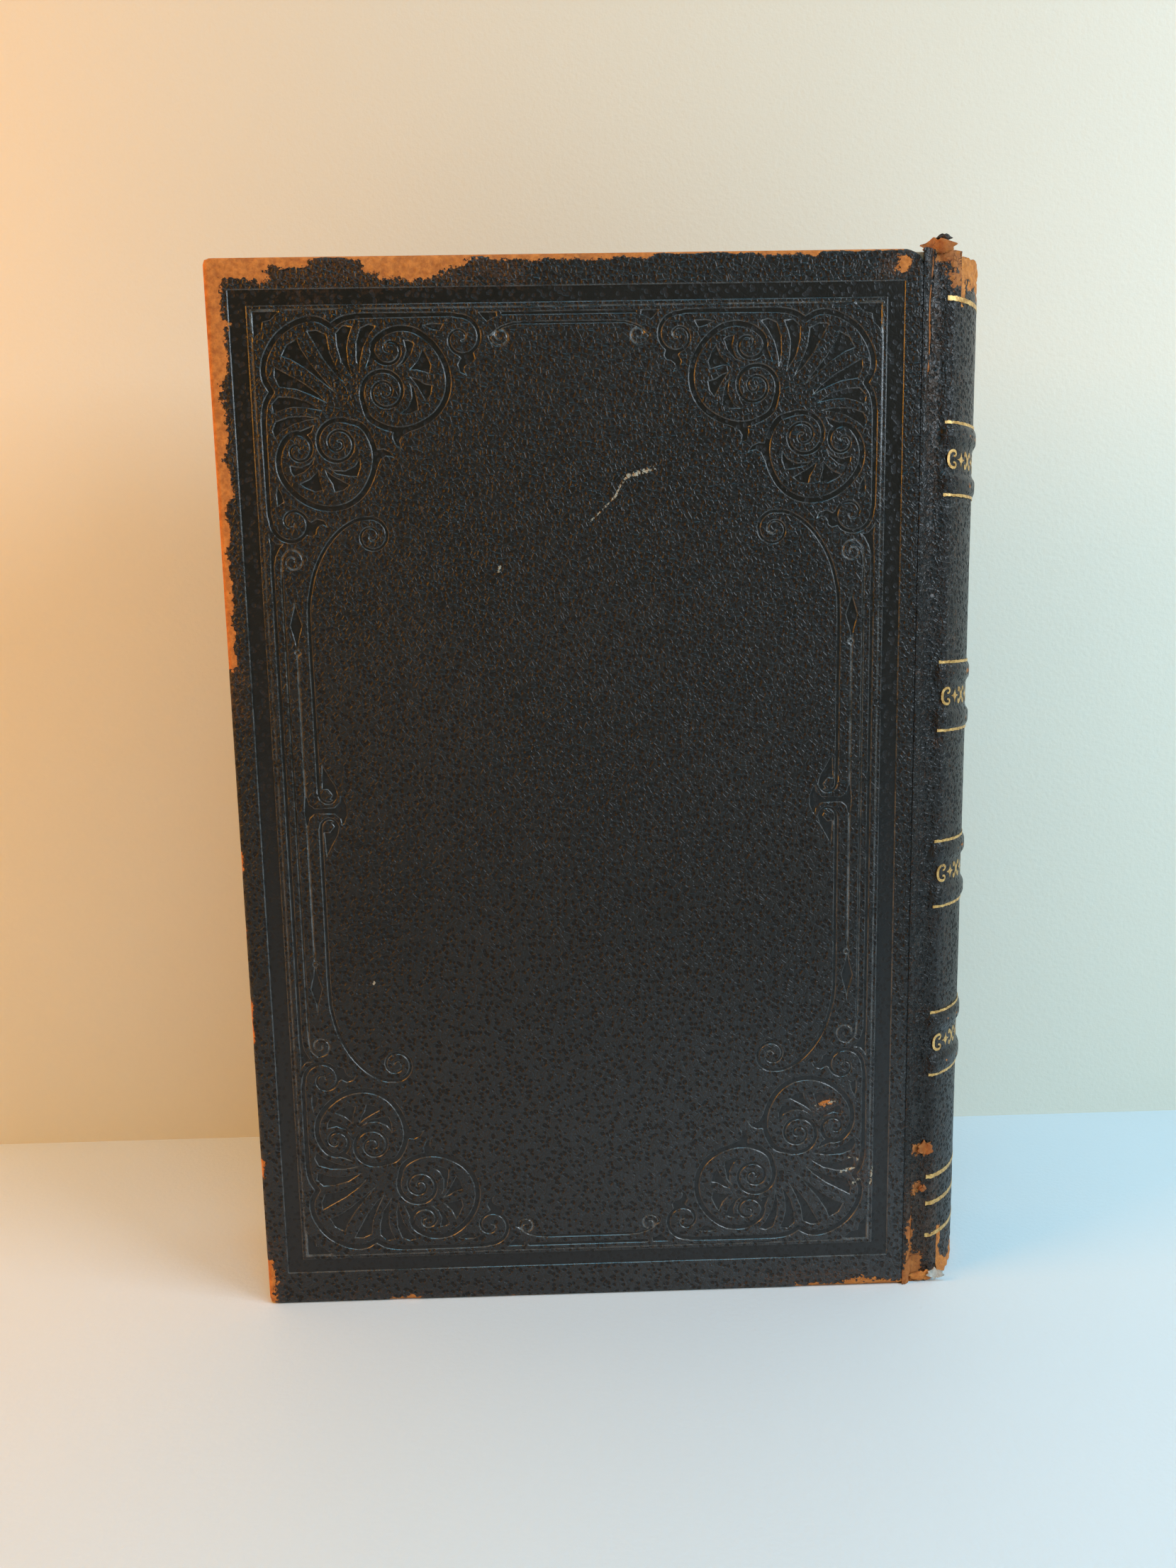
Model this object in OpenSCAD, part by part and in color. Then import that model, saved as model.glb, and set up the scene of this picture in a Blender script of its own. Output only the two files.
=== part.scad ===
// Prayer book bound in full leather: two covers on leather joints, a rounded hollow back with four
// raised bands, and a sewn block of gatherings that fan out as the covers are opened.
// Millimetres. +X towards the spine, -Y the back cover, +Z up. The origin is the middle of the base.

/* [Covers] */
// Height of each cover
cover_h = 240; // [200:1:280]
// Width of each cover from its fore edge to the joint
cover_w = 154.5; // [120:0.5:190]
// Thickness of the board inside each cover
board_t = 2.4; // [2:0.1:3.5]
// Thickness of the covering leather
leather_t = 0.8; // [0.6:0.1:1]
// Width of the leather turned in over the board's inner edges
turn_in_w = 15; // [8:1:20]
// Thickness of the pared leather of the turn-ins
turn_in_t = 0.4; // [0.3:0.1:0.6]
// How far the covers stand out past the leaves
square_w = 3.5; // [2:0.5:5]

/* [Leaves] */
// Thickness of one gathering of leaves
gathering_t = 1.9; // [1.6:0.1:2.2]
// Air between neighbouring gatherings
gathering_gap = 0.06; // [0.04:0.01:0.1]
// Thickness of an endpaper leaf
endpaper_t = 0.2; // [0.15:0.05:0.3]
// Thickness of the pastedown inside each cover
pastedown_t = 0.15; // [0.1:0.05:0.2]
// Depth of the rounded back from its shoulders to its middle
round_d = 10; // [8:0.5:11]
// Angle between neighbouring gatherings when a cover is folded right back
fan_step = 10; // [6:1:10]

/* [Spine] */
// Distance from the cover's edge to the hinge line in the joint
hinge_d = 2; // [1.5:0.1:3]
// Distance from the cover's edge to the shoulder of the leaves
shoulder_d = 3.5; // [3:0.5:5]
// Height of a panel between two bands
panel_h = 26.2; // [20:0.1:30]
// Height of the taller title panel
title_panel_h = 37.4; // [30:0.1:45]
// Height of a band from its lower gilt rule to its upper one
band_h = 15.2; // [12:0.1:18]
// Height of the rule under the lowest panel
tail_rule_z = 27; // [20:0.1:35]
// Distance between the two ridges of a band
ridge_gap = 10.6; // [8:0.1:12]
// Width of a ridge
ridge_w = 2.8; // [2:0.1:3.5]
// How far a ridge stands out
ridge_t = 1; // [0.6:0.1:1.4]
// Width of a gilt rule
rule_w = 1; // [0.6:0.1:1.4]

/* [Hidden] */
$fn = 96;

side_n = 8;                    // gatherings on each side of the middle opening
mid_gap = 0.1;                 // air at the middle opening
cover_gap = 0.32;              // air between an endpaper and its pastedown
pitch = gathering_t + gathering_gap;

// Distances from the middle of the book's thickness, outwards
endpaper_y = mid_gap / 2 + side_n * pitch;
pastedown_y = endpaper_y + endpaper_t + cover_gap;
turn_in_y = pastedown_y + pastedown_t;
board_y = turn_in_y + turn_in_t;
skin_y = board_y + board_t;
outer_y = skin_y + leather_t;

// The rounded back is part of a cylinder; each layer of the spine lies on the one before
half_block = endpaper_y + endpaper_t + 0.07;
back_r = (half_block * half_block + round_d * round_d) / (2 * round_d);
mull_t = 0.25;
tube_ply = 0.3;                // thickness of the hollow tube's paper
tube_air = 0.4;                // the hollow inside the tube
tube_r = back_r + mull_t + 0.05;
card_r = tube_r + 2 * tube_ply + tube_air + 0.1;
card_t = 1.1;
skin_r = card_r + card_t;
outer_r = skin_r + leather_t;

// Places along the width, from the fore edge of the covers to the ridges of the spine
apex_d = shoulder_d + round_d + outer_r - back_r;
overall_w = cover_w + apex_d + ridge_t;
fore_x = -overall_w / 2;
joint_x = fore_x + cover_w;
round_x = joint_x + apex_d - outer_r;     // the axis of the rounded back
hinge_x = joint_x + hinge_d;
spine_a = 52;                  // half the angle that the spine leather spans
card_a = 48;
tube_a = 45;
mull_a = 58;
headband_a = 50;
cap_a = 47;

leaf_z = square_w;
leaf_h = cover_h - 2 * square_w;
edge_d = 0.12;                 // half the cut between a fold and its free leaves

band_z = [
    tail_rule_z + 3 * panel_h + title_panel_h + 3.5 * band_h,
    tail_rule_z + 3 * panel_h + 2.5 * band_h,
    tail_rule_z + 2 * panel_h + 1.5 * band_h,
    tail_rule_z + panel_h + 0.5 * band_h];
head_rule_z = band_z[0] + band_h / 2 + panel_h;
rule_z = concat(
    [for (z = band_z, s = [-1, 1]) z + s * band_h / 2],
    [head_rule_z, tail_rule_z, tail_rule_z - 6.9, tail_rule_z - 15.2]);
cord_z = [for (z = band_z) z, tail_rule_z / 2 + 3, (head_rule_z + cover_h) / 2 - 3];
cord_r = 0.4;
kerf_d = 0.9;                  // depth of the saw cuts that the cords lie in
thread_r = 0.3;

function y_in(k) = mid_gap / 2 + (k - 1) * pitch;
function y_out(k) = y_in(k) + gathering_t;

// How much deeper than its outer neighbour's a gathering's fold line lies, so that the two never meet
function fold_step(k) =
    gathering_t * (cos(fan_step) - cos(k * fan_step)) / sin(k * fan_step) + 0.15;
function fold_x(k) = k >= side_n ? hinge_x - 0.5 : fold_x(k + 1) - fold_step(k);

// How far the rounding moves a leaf that lies y from the middle
function round_off(y) = sqrt(back_r * back_r - y * y) - (back_r - round_d);

// A box given by its two corners
module block(low, high) { translate(low) cube(high - low); }

// A ring sector on the axis of the rounded back, from the profile (radius, height) in its child
module on_back(half_angle) {
    translate([round_x, 0, 0])
        rotate([0, 0, -half_angle])
            rotate_extrude(angle = 2 * half_angle)
                children();
}

// side is -1 for the back cover's half of the book and 1 for the front cover's
module on_side(side) {
    if (side < 0) mirror([0, 1, 0]) children();
    else children();
}

// Its child at the heights of a band's two ridges
module at_ridges(z) {
    for (s = [-1, 1]) translate([0, z + s * ridge_gap / 2]) children();
}

// A ridge's section: a flat strip with sloped sides
module ridge_profile(r, t, w) {
    translate([r, 0])
        polygon([[-0.01, -w / 2], [t * 0.6, -w / 2 + 0.3], [t, -w / 2 + 0.9],
                 [t, w / 2 - 0.9], [t * 0.6, w / 2 - 0.3], [-0.01, w / 2]]);
}

module spine_leather() {
    color("#17171a") on_back(spine_a)
        difference() {
            union() {
                translate([skin_r, 0]) square([leather_t, cover_h]);
                for (z = band_z) at_ridges(z) ridge_profile(outer_r, ridge_t, ridge_w + 0.8);
            }
            for (z = band_z) at_ridges(z) ridge_profile(skin_r, ridge_t - 0.15, ridge_w - 0.6);
        }
}

module raised_band(i) {
    color("#a08b64") on_back(card_a)
        at_ridges(band_z[i]) ridge_profile(skin_r + 0.02, ridge_t - 0.25, ridge_w - 0.8);
}

// The leather of one joint: down from the cover's edge into the groove, and up to the spine
module joint_leather(side) {
    line = [[0.4, outer_y - 0.8], [1.6, outer_y - 1.8], [3.6, outer_y - 2.5],
            [5.6, outer_y - 2.65], [7.9, outer_y - 3.1]];
    color("#201a18") on_side(side)
        translate([joint_x, 0, 0])
            linear_extrude(cover_h)
                polygon(concat(line, [for (i = [len(line) - 1:-1:0]) line[i] - [0, leather_t]]));
}

module spine_card() {
    color("#9c8a6a") on_back(card_a)
        translate([card_r, 1]) square([card_t, cover_h - 2]);
}

module hollow_tube() {
    color("#b08d5b") difference() {
        on_back(tube_a) translate([tube_r, 4])
            square([2 * tube_ply + tube_air, cover_h - 8]);
        on_back(tube_a - 2) translate([tube_r + tube_ply, 3])
            square([tube_air, cover_h - 6]);
    }
}

module mull_lining() {
    color("#d8cfb8") on_back(mull_a)
        translate([back_r, 8]) square([mull_t, cover_h - 16]);
}

module end_band(z) {
    color("#8c2f2a") on_back(headband_a)
        translate([back_r - 1.1, z]) circle(1);
}

module end_cap(z) {
    color("#b5652c") on_back(cap_a)
        translate([back_r - 0.4, z]) square([skin_r - back_r + 0.4, 0.8]);
}

module sewing_cords() {
    color("#c9b88a") for (z = cord_z) on_back(mull_a)
        translate([back_r - kerf_d / 2, z]) circle(cord_r, $fn = 32);
}

// The inner ends of all the gatherings, sewn to the cords
module sewn_folds() {
    color("#cdbf9c") difference() {
        for (side = [-1, 1]) on_side(side) {
            for (k = [1:side_n]) intersection() {
                block([fold_x(k) + edge_d, y_in(k), leaf_z],
                      [round_x + back_r, y_out(k), leaf_z + leaf_h]);
                translate([round_x, 0, 0]) cylinder(r = back_r, h = cover_h);
            }
            block([hinge_x + edge_d, endpaper_y, leaf_z],
                  [hinge_x + 1.4, endpaper_y + endpaper_t, leaf_z + leaf_h]);
        }
        for (z = cord_z) on_back(mull_a + 1)
            translate([back_r - kerf_d, z - kerf_d / 2]) square([kerf_d + 1, kerf_d]);
        for (k = [1:side_n], s = [-1, 1]) block(
            [thread_x(k) - 0.35, s * thread_y(k) - 0.35, leaf_z - 1],
            [thread_x(k) + 0.35, s * thread_y(k) + 0.35, cover_h]);
    }
}

function thread_y(k) = (y_in(k) + y_out(k)) / 2;
function thread_x(k) =
    round_x + sqrt(pow(back_r - kerf_d - 0.6, 2) - pow(thread_y(k), 2));

module sewing_thread() {
    color("#e6dcc0") for (k = [1:side_n], s = [-1, 1])
        translate([thread_x(k), s * thread_y(k), leaf_z + 6])
            cylinder(r = thread_r, h = leaf_h - 12, $fn = 24);
}

module gilt_rules() {
    color("#c9a24a") for (z = rule_z) on_back(spine_a - 1)
        translate([outer_r, z - rule_w / 2]) square([0.05, rule_w]);
}

module board(side) {
    color("#8d7a5c") on_side(side)
        block([fore_x + leather_t, board_y, leather_t],
              [joint_x, skin_y, cover_h - leather_t]);
}

// The skin of one cover with its edges and turn-ins, open towards the joint
module cover_leather(side) {
    color("#141416") on_side(side) difference() {
        block([fore_x, turn_in_y, 0], [joint_x, outer_y, cover_h]);
        block([fore_x + leather_t, board_y, leather_t],
              [joint_x + 1, skin_y, cover_h - leather_t]);
        block([fore_x + turn_in_w, turn_in_y - 1, turn_in_w],
              [joint_x + 1, board_y + 0.1, cover_h - turn_in_w]);
    }
}

module pastedown(side) {
    color("#d9ccb0") on_side(side)
        block([fore_x + 4, pastedown_y, 4], [joint_x - 0.5, turn_in_y, cover_h - 4]);
}

module endpaper(side) {
    color("#d9ccb0") on_side(side)
        block([fore_x + square_w, endpaper_y, leaf_z],
              [hinge_x - edge_d, endpaper_y + endpaper_t, leaf_z + leaf_h]);
}

module gathering(side, k) {
    color("#d3c5a2") on_side(side)
        block([fore_x + square_w + round_off(y_out(k)), y_in(k), leaf_z],
              [fold_x(k) - edge_d, y_out(k), leaf_z + leaf_h]);
}

spine_leather();
joint_leather(-1);  // back_joint_leather
joint_leather(1);  // front_joint_leather
spine_card();
hollow_tube();
mull_lining();
raised_band(0);  // raised_band_1
raised_band(1);  // raised_band_2
raised_band(2);  // raised_band_3
raised_band(3);  // raised_band_4
end_band(leaf_z + leaf_h + 1.1);  // head_band
end_band(leaf_z - 1.1);  // tail_band
end_cap(cover_h - 0.8);  // head_cap
end_cap(0);  // tail_cap
sewing_cords();
sewing_thread();
sewn_folds();
gilt_rules();
board(-1);  // back_board
cover_leather(-1);  // back_leather
pastedown(-1);  // back_pastedown
board(1);  // front_board
cover_leather(1);  // front_leather
pastedown(1);  // front_pastedown
endpaper(-1);  // back_endpaper
endpaper(1);  // front_endpaper
gathering(-1, 1);  // back_gathering_1
gathering(-1, 2);  // back_gathering_2
gathering(-1, 3);  // back_gathering_3
gathering(-1, 4);  // back_gathering_4
gathering(-1, 5);  // back_gathering_5
gathering(-1, 6);  // back_gathering_6
gathering(-1, 7);  // back_gathering_7
gathering(-1, 8);  // back_gathering_8
gathering(1, 1);  // front_gathering_1
gathering(1, 2);  // front_gathering_2
gathering(1, 3);  // front_gathering_3
gathering(1, 4);  // front_gathering_4
gathering(1, 5);  // front_gathering_5
gathering(1, 6);  // front_gathering_6
gathering(1, 7);  // front_gathering_7
gathering(1, 8);  // front_gathering_8
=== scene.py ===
import math

import bmesh
import bpy
import numpy as np
from mathutils import Matrix, Vector
from mathutils.geometry import delaunay_2d_cdt


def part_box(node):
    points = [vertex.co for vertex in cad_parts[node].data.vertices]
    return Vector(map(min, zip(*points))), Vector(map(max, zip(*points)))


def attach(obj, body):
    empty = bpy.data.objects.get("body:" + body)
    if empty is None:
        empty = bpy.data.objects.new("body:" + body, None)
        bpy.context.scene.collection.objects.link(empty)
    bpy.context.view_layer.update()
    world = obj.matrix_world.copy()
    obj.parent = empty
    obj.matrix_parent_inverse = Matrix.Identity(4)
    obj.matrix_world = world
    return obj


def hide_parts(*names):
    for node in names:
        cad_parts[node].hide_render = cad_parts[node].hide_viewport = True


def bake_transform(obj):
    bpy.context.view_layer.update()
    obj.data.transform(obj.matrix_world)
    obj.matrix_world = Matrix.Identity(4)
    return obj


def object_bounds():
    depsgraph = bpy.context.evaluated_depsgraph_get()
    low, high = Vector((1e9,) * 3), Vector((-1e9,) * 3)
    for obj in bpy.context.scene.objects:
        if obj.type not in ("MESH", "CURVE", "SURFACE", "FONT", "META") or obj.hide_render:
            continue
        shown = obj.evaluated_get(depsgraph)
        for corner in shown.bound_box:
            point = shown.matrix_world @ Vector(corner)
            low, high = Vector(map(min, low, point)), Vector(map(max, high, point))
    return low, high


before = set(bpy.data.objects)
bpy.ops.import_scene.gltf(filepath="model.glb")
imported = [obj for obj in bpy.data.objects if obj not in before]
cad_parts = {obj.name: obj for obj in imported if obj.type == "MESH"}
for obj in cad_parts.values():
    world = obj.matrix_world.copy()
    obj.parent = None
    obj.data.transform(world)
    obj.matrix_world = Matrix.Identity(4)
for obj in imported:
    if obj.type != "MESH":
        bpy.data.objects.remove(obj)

bl_info = {
    "name": "Leather prayer book",
    "version": (1, 0, 0),
    "blender": (4, 5, 0),
    "location": "View3D > Sidebar > Prayer Book",
    "description": "Covers, spine, leaves and stage of a tooled leather prayer book",
    "category": "Object",
}

MM = 0.001
CAD_LOW, CAD_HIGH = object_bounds()
SIDES = {"back": -1, "front": 1}

# Places of the frame, in millimetres: x runs from the fore edge to the spine, z is height.
FORE_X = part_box("back_board")[0].x / MM - 0.8
JOINT_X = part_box("back_board")[1].x / MM
OUTER_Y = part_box("front_leather")[1].y / MM
TURN_IN_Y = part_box("front_leather")[0].y / MM
BOARD_Y = (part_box("front_board")[0].y / MM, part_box("front_board")[1].y / MM)
COVER_H = CAD_HIGH.z / MM
COVER_W = JOINT_X - FORE_X
ROUND_X = 64.05
BACK_R = 21.1
SKIN_R = 20.3
BAND_Z = (196.2, 143.6, 102.2, 60.8)
RULE_Z = (188.6, 203.8, 136.0, 151.2, 94.6, 109.8, 53.2, 68.4, 230.0, 27.0, 20.1, 11.8)
BLIND_Z = (236.2, 233.2, 7.4, 4.4)
RIDGE_Z = tuple(centre + offset for centre in BAND_Z for offset in (-5.3, 5.3))
SPINE_HALF_ANGLE = 52.0
END_BAND_R = 16.7
END_BAND_HALF_ANGLE = 49.5
CORNER_R = 1.6
SPINE_CORNER_R = 5.0


# ---------------------------------------------------------------- small helpers

def smooth(edge0, edge1, value):
    """Smoothstep that also works on arrays."""
    t = np.clip((value - edge0) / (edge1 - edge0), 0, 1)
    return t * t * (3 - 2 * t)


def wave_noise(a, b, seed, size):
    """Cheap smooth noise from a few crossed waves, about -1 to 1, features of the given size."""
    rng = np.random.default_rng(seed)
    total = np.zeros(np.broadcast(a, b).shape)
    for octave in range(4):
        for _ in range(3):
            angle = rng.uniform(0, 2 * math.pi)
            turn = 2 * math.pi / (size / 1.7 ** octave)
            phase = rng.uniform(0, 2 * math.pi)
            along = a * math.cos(angle) + b * math.sin(angle)
            total = total + np.sin(along * turn + phase) / 1.5 ** octave
    return total / 5.5


def new_piece(name, verts_mm, faces, material, attributes=None, sharp=None):
    """Makes a mesh piece from points in millimetres, with smooth faces and named point attributes."""
    mesh = bpy.data.meshes.new(name)
    mesh.from_pydata((np.asarray(verts_mm, float) * MM).tolist(), [], faces)
    for key, values in (attributes or {}).items():
        layer = mesh.attributes.new(key, "FLOAT", "POINT")
        layer.data.foreach_set("value", np.asarray(values, np.float32))
    mesh.shade_smooth()
    mesh.update()
    piece = bpy.data.objects.new(name, mesh)
    bpy.context.scene.collection.objects.link(piece)
    clean_faces(piece)
    if sharp:
        piece.data.set_sharp_from_angle(angle=math.radians(sharp))
    piece.data.materials.append(material)
    return piece


def clean_faces(piece):
    """Merges doubles and turns every face outwards."""
    bm = bmesh.new()
    bm.from_mesh(piece.data)
    bmesh.ops.remove_doubles(bm, verts=bm.verts, dist=2e-7)
    bmesh.ops.dissolve_degenerate(bm, edges=bm.edges, dist=1e-8)
    bmesh.ops.recalc_face_normals(bm, faces=bm.faces)
    bm.to_mesh(piece.data)
    bm.free()
    piece.data.update()


def grid_faces(rows, columns, offset=0, flip=False):
    """Quads of a grid of points stored row by row."""
    faces = []
    for r in range(rows - 1):
        for c in range(columns - 1):
            a = offset + r * columns + c
            quad = (a, a + 1, a + columns + 1, a + columns)
            faces.append(quad[::-1] if flip else quad)
    return faces


def shell_faces(rows, columns, layers=2):
    """Faces of a closed block of grids: the first, the last, and the walls from each to the next."""
    n = rows * columns
    faces = grid_faces(rows, columns) + grid_faces(rows, columns, (layers - 1) * n, True)
    ring = list(range(columns)) + [r * columns + columns - 1 for r in range(1, rows)]
    ring += [(rows - 1) * columns + c for c in range(columns - 2, -1, -1)]
    ring += [r * columns for r in range(rows - 2, 0, -1)]
    for base in range(0, (layers - 1) * n, n):
        for a, b in zip(ring, ring[1:] + ring[:1]):
            faces.append((base + a, base + b, base + b + n, base + a + n))
    return faces


def drop_unused(faces):
    """The numbers of the points that faces use, and the faces renumbered to them."""
    used = sorted({i for f in faces for i in f})
    remap = {v: i for i, v in enumerate(used)}
    return used, [tuple(remap[i] for i in f) for f in faces]


# ---------------------------------------------------------------- shader helpers

def add_node(tree, kind, ins=None, **props):
    """Adds a node; ins gives each input a value or links it to a socket."""
    n = tree.nodes.new(kind)
    for key, value in props.items():
        setattr(n, key, value)
    for key, value in (ins or {}).items():
        socket = n.inputs[key]
        if isinstance(value, bpy.types.NodeSocket):
            tree.links.new(value, socket)
        else:
            socket.default_value = value
    return n


def calc(tree, operation, *values, clamp=False):
    """A Math node on two or three values or sockets."""
    ins = dict(enumerate(values))
    return add_node(tree, "ShaderNodeMath", ins, operation=operation, use_clamp=clamp).outputs[0]


def ramp(tree, value, low, high):
    """Smooth step of a value from low to high."""
    ins = {"Value": value, "From Min": low, "From Max": high}
    n = add_node(tree, "ShaderNodeMapRange", ins, interpolation_type="SMOOTHSTEP")
    return n.outputs["Result"]


def mix_colour(tree, factor, a, b):
    """Mixes two colours, or sockets, by a factor."""
    return add_node(tree, "ShaderNodeMix", {0: factor, 6: a, 7: b}, data_type="RGBA").outputs[2]


def vector_calc(tree, operation, ins):
    """A Vector Math node."""
    return add_node(tree, "ShaderNodeVectorMath", ins, operation=operation)


def attribute(tree, name):
    """The value of one of the piece's own attributes."""
    return add_node(tree, "ShaderNodeAttribute", attribute_name=name).outputs["Fac"]


def noise(tree, place, scale, detail=3.0, rough=0.55):
    """Fractal noise value at a scale in features per metre."""
    ins = {"Vector": place, "Scale": scale, "Detail": detail, "Roughness": rough}
    return add_node(tree, "ShaderNodeTexNoise", ins).outputs["Fac"]


def make_group(name, inputs, outputs, build):
    """A shader node group with named inputs and outputs, built once."""
    if name in bpy.data.node_groups:
        return bpy.data.node_groups[name]
    tree = bpy.data.node_groups.new(name, "ShaderNodeTree")
    for label, kind, value in inputs:
        socket = tree.interface.new_socket(name=label, in_out="INPUT", socket_type=kind)
        if value is not None:
            socket.default_value = value
    for label, kind in outputs:
        tree.interface.new_socket(name=label, in_out="OUTPUT", socket_type=kind)
    source = tree.nodes.new("NodeGroupInput")
    sink = tree.nodes.new("NodeGroupOutput")
    for label, socket in build(tree, source.outputs).items():
        tree.links.new(socket, sink.inputs[label])
    return tree


def use_group(tree, group, ins):
    """Places a node group in a material."""
    return add_node(tree, "ShaderNodeGroup", ins, node_tree=group).outputs


def pebble_group():
    """Pebbled goat grain: rounded cells, creases between them and deep pores."""
    def build(tree, source):
        place, size = source["Place"], source["Size"]
        bend = add_node(tree, "ShaderNodeTexNoise", {"Vector": place, "Scale": 420.0, "Detail": 2.0})
        offset = vector_calc(tree, "SUBTRACT", {0: bend.outputs["Color"], 1: (0.5, 0.5, 0.5)})
        ins = {0: offset.outputs[0], 1: (0.0011,) * 3, 2: place}
        moved = vector_calc(tree, "MULTIPLY_ADD", ins).outputs[0]
        edge = add_node(tree, "ShaderNodeTexVoronoi", {"Vector": moved, "Scale": size},
                        feature="DISTANCE_TO_EDGE").outputs["Distance"]
        cell = add_node(tree, "ShaderNodeTexVoronoi", {"Vector": moved, "Scale": size}, feature="F1")
        pore_size = calc(tree, "MULTIPLY", size, 0.86)
        pore = add_node(tree, "ShaderNodeTexVoronoi", {"Vector": moved, "Scale": pore_size},
                        feature="F1").outputs["Distance"]
        fine = noise(tree, place, 2600.0, 3.0)
        crown = ramp(tree, edge, 0.0, 0.2)
        pit = ramp(tree, pore, 0.47, 0.25)
        height = calc(tree, "MULTIPLY", crown, 0.45)
        height = calc(tree, "MULTIPLY_ADD", fine, 0.12, height)
        height = calc(tree, "MULTIPLY_ADD", pit, -1.7, height)
        tone = add_node(tree, "ShaderNodeSeparateColor", {0: cell.outputs["Color"]}).outputs[0]
        return {"Height": height, "Pit": pit, "Crown": crown, "Tone": tone}
    outs = [("Height", "NodeSocketFloat"), ("Pit", "NodeSocketFloat"),
            ("Crown", "NodeSocketFloat"), ("Tone", "NodeSocketFloat")]
    ins = [("Place", "NodeSocketVector", None), ("Size", "NodeSocketFloat", 900.0)]
    return make_group("Pebble grain", ins, outs, build)


def ragged_group():
    """Turns a soft mask into a torn, flaking one, with a narrow rim round it."""
    def build(tree, source):
        place = source["Place"]
        coarse = noise(tree, place, 210.0, 5.0, 0.7)
        fine = noise(tree, place, 1300.0, 3.0, 0.6)
        speck = source["Speckle"]
        fine = calc(tree, "MULTIPLY", fine, speck)
        coarse = calc(tree, "MULTIPLY", coarse, calc(tree, "SUBTRACT", 1.0, speck))
        both = calc(tree, "ADD", coarse, fine)
        shift = calc(tree, "MULTIPLY", calc(tree, "SUBTRACT", both, 0.5), source["Raggedness"])
        value = calc(tree, "ADD", source["Mask"], shift)
        return {"Torn": ramp(tree, value, 0.48, 0.53), "Rim": ramp(tree, value, 0.34, 0.5)}
    ins = [("Place", "NodeSocketVector", None), ("Mask", "NodeSocketFloat", 0.0),
           ("Raggedness", "NodeSocketFloat", 1.0), ("Speckle", "NodeSocketFloat", 0.3)]
    outs = [("Torn", "NodeSocketFloat"), ("Rim", "NodeSocketFloat")]
    return make_group("Ragged wear", ins, outs, build)


def scuff_group():
    """A thin scuff along the line from A to B, broken up by noise."""
    def build(tree, source):
        place = source["Place"]
        run = vector_calc(tree, "SUBTRACT", {0: source["To"], 1: source["From"]}).outputs[0]
        rel = vector_calc(tree, "SUBTRACT", {0: place, 1: source["From"]}).outputs[0]
        along = vector_calc(tree, "DOT_PRODUCT", {0: rel, 1: run})
        whole = vector_calc(tree, "DOT_PRODUCT", {0: run, 1: run})
        share = calc(tree, "DIVIDE", along.outputs["Value"], whole.outputs["Value"], clamp=True)
        near = vector_calc(tree, "SCALE", {0: run, "Scale": share})
        away = vector_calc(tree, "DISTANCE", {0: rel, 1: near.outputs[0]}).outputs["Value"]
        grit = ramp(tree, noise(tree, place, 1500.0, 3.0, 0.7), 0.36, 0.66)
        reach = calc(tree, "MULTIPLY", source["Width"], grit)
        edge = ramp(tree, calc(tree, "SUBTRACT", reach, away), 0.0, 0.0002)
        return {"Mask": calc(tree, "MULTIPLY", edge, 0.75)}
    ins = [("Place", "NodeSocketVector", None), ("From", "NodeSocketVector", None),
           ("To", "NodeSocketVector", None), ("Width", "NodeSocketFloat", 0.0005)]
    return make_group("Scuff line", ins, [("Mask", "NodeSocketFloat")], build)


def mottle_group():
    """Slow blotches of age, and small spots."""
    def build(tree, source):
        place = source["Place"]
        blotch = noise(tree, place, source["Size"], 4.0, 0.6)
        spots = noise(tree, place, calc(tree, "MULTIPLY", source["Size"], 9.0), 2.0, 0.5)
        return {"Blotch": ramp(tree, blotch, 0.35, 0.68), "Spots": ramp(tree, spots, 0.66, 0.76)}
    ins = [("Place", "NodeSocketVector", None), ("Size", "NodeSocketFloat", 40.0)]
    return make_group("Age mottling", ins, [("Blotch", "NodeSocketFloat"), ("Spots", "NodeSocketFloat")],
                      build)


def start_material(name):
    """A new material: its tree, its Principled shader and Object coordinates."""
    found = bpy.data.materials.new(name)
    found.use_nodes = True
    tree = found.node_tree
    shader = tree.nodes["Principled BSDF"]
    place = tree.nodes.new("ShaderNodeTexCoord").outputs["Object"]
    return found, tree, shader, place


def connect(tree, shader, colour=None, roughness=None, height=None, depth=0.0001, metallic=None):
    """Links what varies into the shader."""
    if colour is not None:
        tree.links.new(colour, shader.inputs["Base Color"])
    if roughness is not None:
        tree.links.new(roughness, shader.inputs["Roughness"])
    if metallic is not None:
        tree.links.new(metallic, shader.inputs["Metallic"])
    if height is not None:
        bump = add_node(tree, "ShaderNodeBump", {"Height": height, "Distance": depth, "Strength": 1.0})
        tree.links.new(bump.outputs["Normal"], shader.inputs["Normal"])


# Fixed colours of the leather: crowns of the pebbles, painted shade in the pores, the pressed ground, a
# painted bluish reflection of the floor low on the cover, old red hide deep in a crack, stains in the bare
# hide, the rim of a torn patch, and crazing.
CROWN = (0.0165, 0.0150, 0.0135, 1)
# Painted shade: the pores' near-black colour stands in for the shade in these small pits.
PORE_SHADE = (0.004, 0.0035, 0.003, 1)
PRESSED = (0.0075, 0.0075, 0.008, 1)
# Painted reflection: a bluish grey that stands in for the pale floor mirrored low on the cover.
FLOOR_REFLECTION = (0.040, 0.044, 0.049, 1)
RED_HIDE = (0.17, 0.038, 0.016, 1)
HIDE_STAIN = (0.16, 0.055, 0.02, 1)
TORN_RIM = (0.055, 0.026, 0.013, 1)
CRAZING = (0.10, 0.042, 0.02, 1)


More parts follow.
